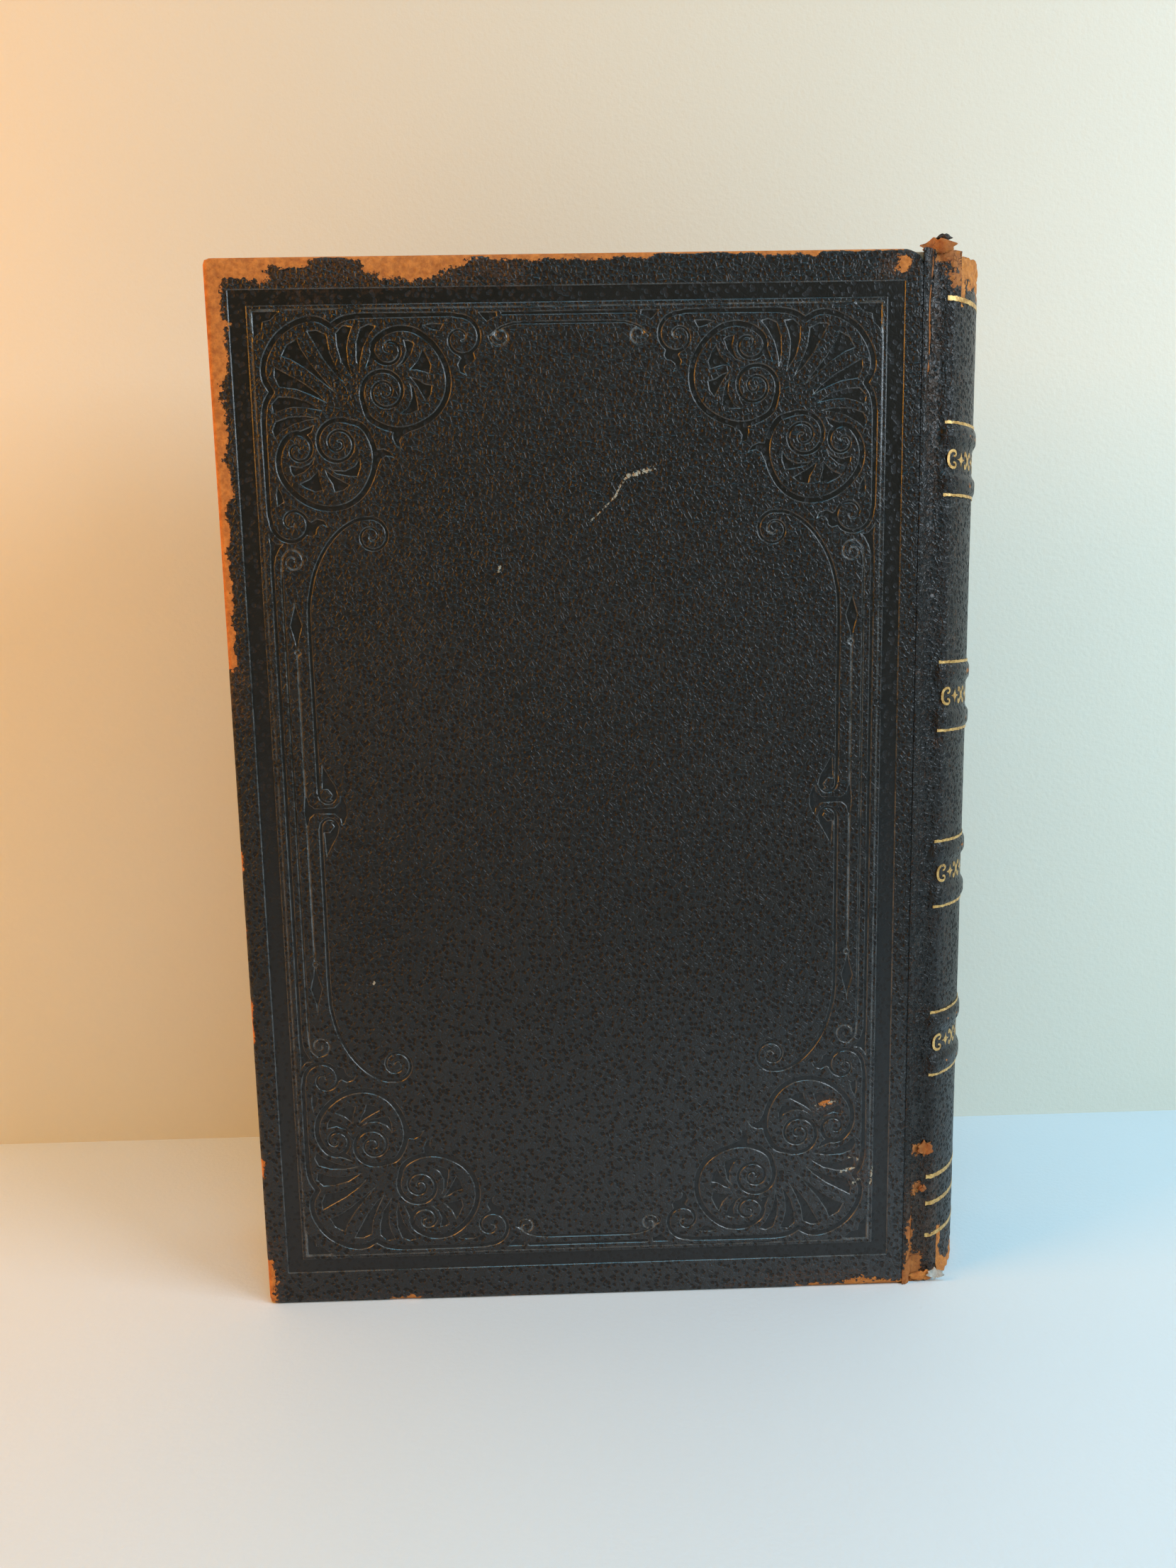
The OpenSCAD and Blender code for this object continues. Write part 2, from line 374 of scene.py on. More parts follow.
def leather_material(name, scuffs=(), grain=900.0, crazed=0.0, deep=1.0, floor_reflection=0.0):
    """Black grained leather over orange-brown raw hide, read from the stamp, worn and rub attributes."""
    looks = bpy.context.scene.prayer_book_leather
    found, tree, shader, place = start_material(name)
    stamp = attribute(tree, "stamp")
    worn = attribute(tree, "worn")
    rub = attribute(tree, "rub")
    edge = attribute(tree, "edge")
    pebble = use_group(tree, pebble_group(), {"Place": place, "Size": grain})
    torn = use_group(tree, ragged_group(),
                     {"Place": place, "Mask": worn, "Raggedness": 2.3, "Speckle": 0.32})
    brown = use_group(tree, ragged_group(),
                      {"Place": place, "Mask": rub, "Raggedness": 2.6, "Speckle": 0.78})
    age = use_group(tree, mottle_group(), {"Place": place, "Size": 22.0})
    plain = calc(tree, "SUBTRACT", 1.0, stamp)
    dye = mix_colour(tree, age["Blotch"], (*looks.dye, 1), (*looks.faded, 1))
    pit = pebble["Pit"]
    # Painted reflection of the floor: towards the bottom of the cover, and more towards the spine edge, the
    # dye is mixed to a bluish grey and the pores are made less dark.
    if floor_reflection:
        apart = add_node(tree, "ShaderNodeSeparateXYZ", {"Vector": place})
        low = ramp(tree, apart.outputs["Z"], 0.100, 0.020)
        near = calc(tree, "MULTIPLY_ADD", ramp(tree, apart.outputs["X"], -0.06, 0.07), 0.6, 0.4)
        reflection_mask = calc(tree, "MULTIPLY", calc(tree, "MULTIPLY", low, near), floor_reflection)
        dye = mix_colour(tree, reflection_mask, dye, FLOOR_REFLECTION)
        pit = calc(tree, "MULTIPLY", pit, calc(tree, "MULTIPLY_ADD", reflection_mask, -0.6, 1.0))
    lit = mix_colour(tree, calc(tree, "MULTIPLY", pebble["Tone"], 0.55), dye, CROWN)
    # Painted shade in the pores: where the grain is not pressed, its pits are darkened towards near black.
    pore_shaded = mix_colour(tree, calc(tree, "MULTIPLY", pit, plain), lit, PORE_SHADE)
    pressed = mix_colour(tree, calc(tree, "MULTIPLY", stamp, 0.6), pore_shaded, PRESSED)
    # Painted highlight: the walls of the tooling are lightened towards a pale grey, unevenly, for the light
    # they catch.
    edge_highlight_mask = calc(tree, "MULTIPLY", edge, ramp(tree, noise(tree, place, 320.0, 4.0), 0.3, 0.62))
    pressed = mix_colour(tree, calc(tree, "MULTIPLY", edge_highlight_mask, 0.8), pressed, (*looks.polished, 1))
    show = calc(tree, "MULTIPLY", brown["Torn"], calc(tree, "MULTIPLY_ADD", stamp, -0.22, 0.48))
    rubbed = mix_colour(tree, show, pressed, (*looks.rubbed, 1))
    fibre = noise(tree, place, 700.0, 6.0, 0.7)
    hide = mix_colour(tree, ramp(tree, fibre, 0.3, 0.72), (*looks.raw_dark, 1), (*looks.raw, 1))
    hide = mix_colour(tree, 1.0 - deep, hide, RED_HIDE)
    blot = noise(tree, place, 130.0, 4.0, 0.6)
    hide = mix_colour(tree, ramp(tree, blot, 0.58, 0.8), hide, HIDE_STAIN)
    rim = mix_colour(tree, calc(tree, "MULTIPLY", torn["Rim"], 0.7), rubbed, TORN_RIM)
    colour = mix_colour(tree, torn["Torn"], rim, hide)
    height = calc(tree, "MULTIPLY", pebble["Height"], calc(tree, "MULTIPLY_ADD", plain, 0.85, 0.15))
    suede = calc(tree, "MULTIPLY", fibre, 0.9)
    keep = calc(tree, "SUBTRACT", 1.0, torn["Torn"])
    height = calc(tree, "MULTIPLY", height, keep)
    height = calc(tree, "MULTIPLY_ADD", suede, torn["Torn"], height)
    height = calc(tree, "MULTIPLY_ADD", torn["Torn"], -1.2, height)
    if crazed:
        cracks = add_node(tree, "ShaderNodeTexVoronoi", {"Vector": place, "Scale": 620.0},
                          feature="DISTANCE_TO_EDGE").outputs["Distance"]
        patch = ramp(tree, noise(tree, place, 170.0, 3.0), 0.45, 0.62)
        split = calc(tree, "MULTIPLY", ramp(tree, cracks, 0.07, 0.0), calc(tree, "MULTIPLY", patch, crazed))
        height = calc(tree, "MULTIPLY_ADD", split, -1.6, height)
        colour = mix_colour(tree, calc(tree, "MULTIPLY", split, 0.65), colour, CRAZING)
    for start, end, width in scuffs:
        mark = use_group(tree, scuff_group(), {"Place": place, "From": start, "To": end, "Width": width})
        colour = mix_colour(tree, mark["Mask"], colour, (*looks.scuff, 1))
    shine = calc(tree, "MULTIPLY_ADD", age["Blotch"], 0.10, looks.roughness)
    shine = calc(tree, "MULTIPLY_ADD", stamp, -0.05, shine)
    shine = calc(tree, "MULTIPLY_ADD", pebble["Pit"], 0.35, shine)
    shine = calc(tree, "MULTIPLY_ADD", edge, -0.12, shine)
    shine = calc(tree, "MULTIPLY_ADD", torn["Torn"], 0.4, shine, clamp=True)
    tree.links.new(calc(tree, "MULTIPLY", edge, keep), shader.inputs["Coat Weight"])
    shader.inputs["Coat Roughness"].default_value = 0.14
    connect(tree, shader, colour, shine, height, 0.00022)
    shader.inputs["Specular IOR Level"].default_value = 0.33
    return found


def paper_material(name, tint, edge_tint, lines=0.0):
    """Old rag paper: fibre, foxing, browned edges and, where lines is above 0, the cut leaves' edges, with
    painted shade in the grooves between the leaves.
    """
    found, tree, shader, place = start_material(name)
    age = use_group(tree, mottle_group(), {"Place": place, "Size": 30.0})
    fibre = noise(tree, place, 1800.0, 4.0, 0.6)
    colour = mix_colour(tree, fibre, (*tint, 1), (*(0.9 * t for t in tint), 1))
    colour = mix_colour(tree, calc(tree, "MULTIPLY", age["Blotch"], 0.45), colour, (*edge_tint, 1))
    colour = mix_colour(tree, calc(tree, "MULTIPLY", age["Spots"], 0.35), colour, (0.30, 0.16, 0.07, 1))
    height = calc(tree, "MULTIPLY", fibre, 0.3)
    depth = 0.00004
    if lines:
        cut = attribute(tree, "cut")
        level = attribute(tree, "level")
        parts = add_node(tree, "ShaderNodeSeparateXYZ", {0: place}).outputs
        ins = {0: calc(tree, "MULTIPLY", parts["X"], 0.02), 1: level,
               2: calc(tree, "MULTIPLY", parts["Z"], 0.02)}
        squeeze = add_node(tree, "ShaderNodeCombineXYZ", ins).outputs[0]
        leaf = noise(tree, squeeze, lines, 4.0, 0.75)
        rim = ramp(tree, cut, 0.0, 1.0)
        height = calc(tree, "MULTIPLY_ADD", calc(tree, "MULTIPLY", leaf, rim), 2.4, height)
        # Painted shade: the grooves between the cut leaves are darkened to a deep brown.
        dark = calc(tree, "MULTIPLY", ramp(tree, leaf, 0.56, 0.36), rim)
        colour = mix_colour(tree, calc(tree, "MULTIPLY", rim, 0.4), colour, (*edge_tint, 1))
        colour = mix_colour(tree, dark, colour, (0.16, 0.10, 0.055, 1))
        depth = 0.00009
    connect(tree, shader, colour, ramp(tree, fibre, -1.6, 0.9), height, depth)
    return found


def plain_material(name, dark, light, size, roughness, depth, stretch=(1, 1, 1), spots=0.3):
    """Fibrous stuff such as board, cord, cloth or glue: streaked noise between two colours."""
    found, tree, shader, place = start_material(name)
    pulled = add_node(tree, "ShaderNodeMapping", {"Vector": place, "Scale": stretch}).outputs["Vector"]
    grain = noise(tree, pulled, size, 5.0, 0.65)
    age = use_group(tree, mottle_group(), {"Place": place, "Size": 60.0})
    colour = mix_colour(tree, ramp(tree, grain, 0.3, 0.7), (*dark, 1), (*light, 1))
    colour = mix_colour(tree, calc(tree, "MULTIPLY", age["Spots"], spots), colour, (*dark, 1))
    rough = calc(tree, "MULTIPLY_ADD", grain, 0.2, roughness - 0.1)
    connect(tree, shader, colour, rough, grain, depth)
    return found


def mull_material(name):
    """Open starched cloth, woven of crossed threads."""
    found, tree, shader, place = start_material(name)
    axes = add_node(tree, "ShaderNodeSeparateXYZ", {0: place})
    warp = calc(tree, "ABSOLUTE", calc(tree, "SINE", calc(tree, "MULTIPLY", axes.outputs["Z"], 3900.0)))
    weft = calc(tree, "ABSOLUTE", calc(tree, "SINE", calc(tree, "MULTIPLY", axes.outputs["Y"], 3900.0)))
    weave = calc(tree, "MAXIMUM", warp, weft)
    colour = mix_colour(tree, ramp(tree, weave, 0.55, 0.9), (0.20, 0.15, 0.09, 1), (0.62, 0.55, 0.42, 1))
    connect(tree, shader, colour, ramp(tree, weave, -2.0, 1.4), weave, 0.00008)
    return found


def gilt_material(name):
    """Gold leaf stamped into leather, rubbed through in places to the black below."""
    found, tree, shader, place = start_material(name)
    flake = noise(tree, place, 900.0, 5.0, 0.7)
    patch = noise(tree, place, 150.0, 3.0, 0.5)
    both = calc(tree, "MULTIPLY_ADD", patch, 0.6, calc(tree, "MULTIPLY", flake, 0.6))
    loss = ramp(tree, both, 0.70, 0.78)
    gold = mix_colour(tree, ramp(tree, flake, 0.35, 0.65), (0.42, 0.22, 0.06, 1), (0.80, 0.52, 0.20, 1))
    colour = mix_colour(tree, loss, gold, (0.03, 0.022, 0.016, 1))
    metal = calc(tree, "MULTIPLY_ADD", loss, -0.75, 0.75)
    rough = calc(tree, "MULTIPLY_ADD", flake, 0.25, 0.3)
    connect(tree, shader, colour, rough, flake, 0.00004, metal)
    return found


def silk_material(name, colour_a, colour_b):
    """Wound thread: a fine twist along each turn."""
    found, tree, shader, place = start_material(name)
    twist = noise(tree, place, 5200.0, 2.0, 0.5)
    dirt = noise(tree, place, 300.0, 4.0, 0.6)
    colour = mix_colour(tree, twist, (*colour_a, 1), (*colour_b, 1))
    colour = mix_colour(tree, ramp(tree, dirt, 0.5, 0.75), colour, (0.12, 0.09, 0.06, 1))
    connect(tree, shader, colour, ramp(tree, twist, -1.2, 1.4), twist, 0.00005)
    return found


# ---------------------------------------------------------------- tooling of the covers

# The quarter design is drawn in millimetres from the inner corner of the sunk frame:
# u runs inwards along the head, v runs down along the side. The design's middle is
# DESIGN_X by DESIGN_Z from the cover's lower fore corner.
DESIGN_X, DESIGN_Z = 77.5, 120.7
FRAME_X, FRAME_Z = (68.6, 72.6), (109.15, 112.75)
CORNER_X, CORNER_Z = 68.65, 109.3
QUARTER = (75.0, 117.5)
WALL = (0.06, -0.26)


def smooth_line(points, step=0.35):
    """A Catmull-Rom curve through given points, sampled about every step mm."""
    p = [np.array(q, float) for q in points]
    p = [2 * p[0] - p[1]] + p + [2 * p[-1] - p[-2]]
    line = []
    for a, b, c, d in zip(p, p[1:], p[2:], p[3:]):
        count = max(1, int(np.linalg.norm(c - b) / step))
        for i in range(count):
            t = i / count
            line.append(0.5 * (2 * b + (c - a) * t + (2 * a - 5 * b + 4 * c - d) * t * t
                               + (3 * b - a - 3 * c + d) * t ** 3))
    line.append(p[-2])
    return [tuple(q) for q in line]


def spiral(centre, radius, start, sweep, end_radius=0.5):
    """Points of a spiral from radius to end_radius, through sweep degrees."""
    count = max(8, int(abs(sweep) / 12))
    points = []
    for i in range(count + 1):
        t = i / count
        r = radius + (end_radius - radius) * t
        a = math.radians(start + sweep * t)
        points.append((centre[0] + r * math.cos(a), centre[1] + r * math.sin(a)))
    return points


# Strokes: (points, (share of the length, width) stops)
ARM_STROKES = (
    # from the lobe's cusp down the arm and round the end scroll
    (smooth_line([(4.4, 17.7), (3.0, 20.0), (2.4, 23.0), (2.3, 27.0), (2.3, 42.0), (2.45, 44.3)])
     + spiral((7.3, 45.3), 4.75, 187, -515), ((0, 1.45), (0.5, 1.15), (0.75, 1.0), (1, 0.6))),
    # the roundel, from inside its large spiral round to its small spiral
    (spiral((18.05, 28.6), 5.0, -75, -725)[::-1]
     + smooth_line([(19.35, 23.7), (23.3, 25.0), (25.4, 28.4), (25.95, 31.7), (25.2, 35.4), (23.0, 39.2),
                    (19.8, 41.6), (16.0, 42.4), (11.9, 41.6), (8.1, 39.1), (5.6, 35.7), (5.0, 32.2),
                    (5.8, 29.2), (7.5, 27.0), (9.3, 26.3)])
     + spiral((9.3, 29.9), 3.6, -88, 420),
     ((0, 0.7), (0.12, 0.85), (0.3, 1.2), (0.38, 1.45), (0.82, 1.45), (0.9, 0.95), (1, 0.65))),
)
LOBE = [(4.4, 17.7), (3.1, 15.4), (2.85, 13.0), (3.7, 9.9), (6.2, 6.2), (9.9, 3.7), (13.0, 2.85),
        (15.4, 3.1), (17.7, 4.4)]
ARM_SUNK = (
    # leaf cusp towards the cover's middle
    [(26.0, 30.0), (27.8, 29.8), (29.3, 30.5), (30.6, 32.4), (29.5, 31.7), (28.3, 31.5), (27.3, 32.1),
     (26.5, 33.7), (25.8, 35.6), (25.2, 33.0)],
    # petals of the palmette
    [(22.75, 31.5), (21.35, 33.4), (19.25, 34.35), (16.95, 34.2), (15.0, 33.2), (17.3, 35.1), (20.35, 35.7),
     (22.0, 35.8), (22.75, 33.8)],
    [(20.35, 37.4), (18.65, 36.5), (16.55, 35.3), (14.8, 33.9), (15.35, 35.7), (16.35, 37.2), (16.75, 39.0),
     (18.85, 38.6)],
    [(13.7, 33.9), (13.7, 35.7), (14.45, 38.5), (12.65, 38.9), (10.35, 37.9), (9.15, 37.0), (11.5, 36.0)],
    [(13.3, 30.8), (11.6, 32.7), (9.6, 33.5), (7.3, 33.0), (7.5, 34.5), (8.1, 35.5), (10.4, 34.7),
     (12.4, 33.0)],
    # wedges of the shell fan
    [(5.2, 12.4), (5.0, 14.6), (6.0, 16.8), (9.65, 17.3), (12.65, 18.5), (16.5, 20.4), (14.25, 18.0),
     (11.15, 15.7), (7.7, 13.8)],
    [(5.7, 18.6), (4.15, 20.2), (4.45, 22.4), (6.6, 21.5), (8.85, 21.0), (11.9, 21.2), (15.6, 22.0),
     (11.9, 19.6), (8.5, 18.7)],
    [(4.8, 23.8), (3.95, 25.7), (4.45, 27.5), (6.15, 26.0), (8.85, 24.5), (11.9, 23.7), (15.0, 23.4),
     (11.2, 22.7), (7.65, 22.85)],
    # flare over the small spiral, and the spandrel by the end scroll
    [(13.3, 24.5), (12.5, 26.3), (10.95, 27.2), (9.5, 26.0), (11.15, 25.4)],
    [(4.4, 37.1), (5.4, 39.1), (5.8, 40.9), (4.15, 41.9), (4.0, 39.2)],
    # leaf tuft of the end scroll
    [(10.6, 44.4), (11.3, 45.1), (12.6, 44.4), (14.3, 44.9), (15.1, 46.6), (13.9, 45.9), (13.1, 46.1),
     (12.5, 46.9), (12.4, 47.8), (11.4, 48.4), (9.9, 48.0)],
)
WEDGE_HALF = [(8.0, 8.0), (10.4, 6.7), (11.15, 8.8), (13.1, 11.9), (16.4, 15.9), (18.7, 18.7)]
SPANDREL_HALF = [(1.05, 1.05), (1.05, 7.6), (1.8, 6.3), (3.0, 5.1), (3.25, 4.2), (3.35, 3.35)]
# Drawn in the cover's own millimetres, from the design's middle to the fore edge and head.
SIDE_STROKES = (
    ([(66.3, -1.0), (66.3, 54.5)], ((0, 1.0), (1, 1.0))),
    ([(64.35, -1.0), (64.35, 52.0)] + smooth_line([(64.35, 53.5), (64.0, 56.6), (62.5, 58.3)])
     + spiral((61.8, 55.7), 2.6, 75, 470), ((0, 0.65), (1, 0.5))),
    ([(61.9, 2.5), (61.9, 35.0)], ((0, 0.6), (1, 0.6))),
    (smooth_line([(58.9, 4.2), (58.9, 25.0), (58.9, 43.5), (58.2, 49.3), (56.8, 54.1), (54.3, 58.7),
                  (51.0, 62.3), (47.3, 64.4), (44.2, 64.7)]) + spiral((44.3, 60.8), 3.9, 92, 600),
     ((0, 1.0), (0.75, 1.0), (1, 0.6))),
    (smooth_line([(58.9, 4.6), (58.6, 2.9), (57.4, 1.9), (56.0, 2.0), (55.1, 3.0)]), ((0, 0.9), (1, 0.7))),
    ([(-1.0, 105.1), (10.0, 105.1)] + smooth_line([(12.0, 105.0), (14.8, 104.1), (17.0, 102.4)])
     + spiral((14.9, 102.4), 2.3, 0, -470), ((0, 0.8), (1, 0.55))),
    ([(-1.0, 107.1), (14.2, 107.1)], ((0, 0.95), (1, 0.95))),
)
SIDE_SUNK = (
    # lozenge and its drop
    [(61.9, 48.5), (61.5, 45.5), (60.4, 41.8), (61.5, 38.0), (61.75, 35.3), (62.05, 35.3), (62.4, 38.4),
     (63.3, 41.8), (62.2, 45.5)],
    # leaf over the mid knot
    [(57.9, 10.9), (56.5, 8.2), (55.0, 5.6), (54.5, 3.6), (55.3, 2.2), (56.6, 2.6), (55.9, 3.6),
     (56.9, 4.9), (58.2, 4.8)],
    # mid knot, cut at the middle line
    [(52.7, -1.0), (52.6, 1.0), (53.4, 3.0), (54.1, 3.6), (54.3, 2.0), (55.6, 0.8), (60.0, 0.7),
     (61.1, 1.6), (61.6, 3.4), (62.2, 3.4), (62.6, -1.0)],
    # flare that starts the outer side line, and the one beside the head link
    [(66.9, 62.2), (66.6, 59.3), (66.8, 54.2), (65.9, 54.2), (65.4, 56.7), (64.4, 58.6), (63.4, 59.6),
     (65.1, 59.7), (66.1, 60.7)],
    [(15.4, 107.5), (19.6, 107.5), (18.6, 106.3), (17.6, 105.3), (16.2, 106.1), (15.3, 106.3)],
)
DROP = ((61.7, 35.9), 0.85)


def window(gx, gz, xs, zs, reach):
    """The rows and columns of the grid within reach of the points, as two slices."""
    step = gx[1] - gx[0]
    spans = []
    for grid, values in ((gx, xs), (gz, zs)):
        first = max(0, int((min(values) - reach - grid[0]) / step))
        spans.append((first, min(len(grid), int((max(values) + reach - grid[0]) / step) + 2)))
    return spans


def stroke_distance(field, gx, gz, points, widths):
    """Lowers field to the signed distance of a tapering stroke, window by window."""
    lengths = [0.0]
    for a, b in zip(points, points[1:]):
        lengths.append(lengths[-1] + math.dist(a, b))
    stops, sizes = zip(*widths)
    for i, (a, b) in enumerate(zip(points, points[1:])):
        half = 0.5 * float(np.interp(lengths[i] / lengths[-1], stops, sizes))
        (i0, i1), (k0, k1) = window(gx, gz, (a[0], b[0]), (a[1], b[1]), half + 1.0)
        if i1 <= i0 or k1 <= k0:
            continue
        px, pz = np.meshgrid(gx[i0:i1], gz[k0:k1], indexing="ij")
        dx, dz = b[0] - a[0], b[1] - a[1]
        square = max(dx * dx + dz * dz, 1e-9)
        t = np.clip(((px - a[0]) * dx + (pz - a[1]) * dz) / square, 0, 1)
        d = np.hypot(px - a[0] - t * dx, pz - a[1] - t * dz) - half
        field[i0:i1, k0:k1] = np.minimum(field[i0:i1, k0:k1], d)


def polygon_distance(field, gx, gz, points):
    """Lowers field to the signed distance of a closed outline."""
    (i0, i1), (k0, k1) = window(gx, gz, [p[0] for p in points], [p[1] for p in points], 1)
    if i1 <= i0 or k1 <= k0:
        return
    px, pz = np.meshgrid(gx[i0:i1], gz[k0:k1], indexing="ij")
    nearest = np.full(px.shape, 9.0)
    inside = np.zeros(px.shape, bool)
    for a, b in zip(points, points[1:] + points[:1]):
        dx, dz = b[0] - a[0], b[1] - a[1]
        square = max(dx * dx + dz * dz, 1e-9)
        t = np.clip(((px - a[0]) * dx + (pz - a[1]) * dz) / square, 0, 1)
        nearest = np.minimum(nearest, np.hypot(px - a[0] - t * dx, pz - a[1] - t * dz))
        if a[1] != b[1]:
            crosses = (a[1] > pz) != (b[1] > pz)
            inside ^= crosses & (px < dx * (pz - a[1]) / dz + a[0])
    d = np.where(inside, -nearest, nearest)
    field[i0:i1, k0:k1] = np.minimum(field[i0:i1, k0:k1], d)


def design_field(step):
    """Signed distance to the sunk parts of one quarter, negative inside them."""
    gx = np.arange(0, QUARTER[0] + step / 2, step)
    gz = np.arange(0, QUARTER[1] + step / 2, step)
    field = np.full((len(gx), len(gz)), 2.0)

    def place(points, swap):
        pairs = [(v, u) if swap else (u, v) for u, v in points]
        return [(CORNER_X - u, CORNER_Z - v) for u, v in pairs]

    for swap in (False, True):
        for points, widths in ARM_STROKES:
            stroke_distance(field, gx, gz, place(points, swap), widths)
        for points in ARM_SUNK:
            polygon_distance(field, gx, gz, place(points, swap))
    stroke_distance(field, gx, gz, place(smooth_line(LOBE), False), ((0, 1.45), (1, 1.45)))
    for half in (WEDGE_HALF, SPANDREL_HALF):
        mirrored = [(v, u) for u, v in half[::-1] if u != v]
        polygon_distance(field, gx, gz, place(half + mirrored, False))
    for points, widths in SIDE_STROKES:
        stroke_distance(field, gx, gz, points, widths)
    for points in SIDE_SUNK:
        polygon_distance(field, gx, gz, list(points))
    px, pz = np.meshgrid(gx, gz, indexing="ij")
    drop = np.hypot(px - DROP[0][0], pz - DROP[0][1]) - DROP[1]
    field = np.minimum(field, drop)
    field = np.maximum(field, 0.32 - np.hypot(px - DROP[0][0], pz - DROP[0][1]))
    line = np.maximum(px - FRAME_X[0] + 0.75, pz - FRAME_Z[0] + 0.75)
    field = np.minimum(field, np.abs(line) - 0.2)
    outer = np.maximum(px - FRAME_X[1], pz - FRAME_Z[1])
    inner = np.maximum(px - FRAME_X[0], pz - FRAME_Z[0])
    field = np.minimum(field, np.maximum(outer, -inner))
    return gx, gz, field


def contour_lines(gx, gz, field, level):
    """Marching squares: the lines where field equals level, as lists of points."""
    f = field - level
    f = np.where(f == 0, 1e-6, f)
    s = f > 0
    step = gx[1] - gx[0]
    links = {}
    points = {}

    def crossing(i, k, along):
        key = (i, k, along)
        if key not in points:
            a = f[i, k]
            b = f[i + 1, k] if along == 0 else f[i, k + 1]
            t = a / (a - b)
            x = gx[i] + (t * step if along == 0 else 0)
            z = gz[k] + (t * step if along == 1 else 0)
            points[key] = (float(x), float(z))
        return key

    mixed = (s[:-1, :-1] != s[1:, :-1]) | (s[:-1, :-1] != s[:-1, 1:]) | (s[1:, 1:] != s[1:, :-1])
    for i, k in zip(*np.nonzero(mixed)):
        i, k = int(i), int(k)
        cut = []
        if s[i, k] != s[i + 1, k]:
            cut.append(crossing(i, k, 0))
        if s[i + 1, k] != s[i + 1, k + 1]:
            cut.append(crossing(i + 1, k, 1))
        if s[i, k + 1] != s[i + 1, k + 1]:
            cut.append(crossing(i, k + 1, 0))
        if s[i, k] != s[i, k + 1]:
            cut.append(crossing(i, k, 1))
        for a, b in zip(cut[::2], cut[1::2]):
            links.setdefault(a, []).append(b)
            links.setdefault(b, []).append(a)
    lines = []
    unused = set(links)
    for start in sorted(unused, key=lambda key: (len(links[key]), key)):
        if start not in unused:
            continue
        line = [start]
        unused.discard(start)
        while True:
            onward = [n for n in links[line[-1]] if n in unused]
            if not onward:
                break
            line.append(onward[0])
            unused.discard(onward[0])
        closed = len(line) > 2 and line[0] in links[line[-1]]
        lines.append(([points[key] for key in line], closed))
    return lines


def thin_line(points, tolerance, longest=3.0):
    """Drops points that lie within tolerance of the line through their neighbours."""
    keep = [0]
    start = 0
    for end in range(2, len(points)):
        a, b = points[start], points[end]
        run = math.dist(a, b)
        far = 0.0
        for p in points[start + 1:end]:
            cross = abs((b[0] - a[0]) * (a[1] - p[1]) - (a[0] - p[0]) * (b[1] - a[1]))
            far = max(far, cross / run if run > 1e-9 else math.dist(a, p))
        if far > tolerance or run > longest:
            start = end - 1
            keep.append(start)
    keep.append(len(points) - 1)
    return [points[i] for i in keep]


def tooled_quarter(step):
    """The quarter's mesh: points (X, Z), how far each is sunk (0 to 1), and triangles."""
    gx, gz, field = design_field(step)
    points, edges = [], []
    for level in (WALL[0], 0.5 * (WALL[0] + WALL[1]), WALL[1]):
        for line, closed in contour_lines(gx, gz, field, level):
            if len(line) < 6:
                continue
            line = thin_line(line, 0.012)
            first = len(points)
            points += line
            edges += [(first + i, first + i + 1) for i in range(len(line) - 1)]
            if closed:
                edges.append((first + len(line) - 1, first))
    count = len(points)
    for x in np.arange(1.5, QUARTER[0], 3.0):
        for z in np.arange(1.5, QUARTER[1], 3.0):
            points.append((float(x), float(z)))
    for x in np.arange(0.7, QUARTER[0], 1.25):
        for z in np.arange(0.7, QUARTER[1], 1.25):
            if x > FRAME_X[1] + 0.3 or z > FRAME_Z[1] + 0.3:
                points.append((float(x), float(z)))
    inner = np.array(points[count:])
    value = field[(inner[:, 0] / step).astype(int), (inner[:, 1] / step).astype(int)]
    clear = (value > 0.5) | (value < -0.6)
    points = points[:count] + [tuple(p) for p in inner[clear].tolist()]
    corner = len(points)
    nx, nz = 60, 94
    rim = [(QUARTER[0] * i / nx, 0.0) for i in range(nx)]
    rim += [(QUARTER[0], QUARTER[1] * k / nz) for k in range(nz)]
    rim += [(QUARTER[0] * (1 - i / nx), QUARTER[1]) for i in range(nx)]
    rim += [(0.0, QUARTER[1] * (1 - k / nz)) for k in range(nz)]
    points += rim
    edges += [(corner + i, corner + (i + 1) % len(rim)) for i in range(len(rim))]
    out = delaunay_2d_cdt([Vector(p) for p in points], edges, [], 1, 1e-5)
    verts = np.array([tuple(v) for v in out[0]])
    tris = [tuple(t) for t in out[2]]
    inside = (verts[:, 0] > -1e-4) & (verts[:, 0] < QUARTER[0] + 1e-4)
    inside &= (verts[:, 1] > -1e-4) & (verts[:, 1] < QUARTER[1] + 1e-4)
    tris = [t for t in tris if all(inside[i] for i in t)]
    place_x = np.clip(verts[:, 0] / step, 0, len(gx) - 1.001)
    place_z = np.clip(verts[:, 1] / step, 0, len(gz) - 1.001)
    i, k = place_x.astype(int), place_z.astype(int)
    a, b = place_x - i, place_z - k
    value = (field[i, k] * (1 - a) * (1 - b) + field[i + 1, k] * a * (1 - b)
             + field[i, k + 1] * (1 - a) * b + field[i + 1, k + 1] * a * b)
    t = np.clip((WALL[0] - value) / (WALL[0] - WALL[1]), 0, 1)
    slope = 6 * t * (1 - t) / (WALL[0] - WALL[1])
    grad_x, grad_z = np.gradient(field, step)
    tilt = np.stack([grad_x[i, k] * slope, grad_z[i, k] * slope], 1)
    return verts, t * t * (3 - 2 * t), tris, tilt


def box_mask(x, z, zone, soft):
    """0.5 on the zone's edge, rising to 1 inside it and falling to 0 within soft mm."""
    x0, z0, x1, z1 = zone
    dx = np.maximum(x0 - x, x - x1)
    dz = np.maximum(z0 - z, z - z1)
    outside = np.hypot(np.maximum(dx, 0), np.maximum(dz, 0)) + np.minimum(np.maximum(dx, dz), 0)
    return smooth(soft, -soft, outside)


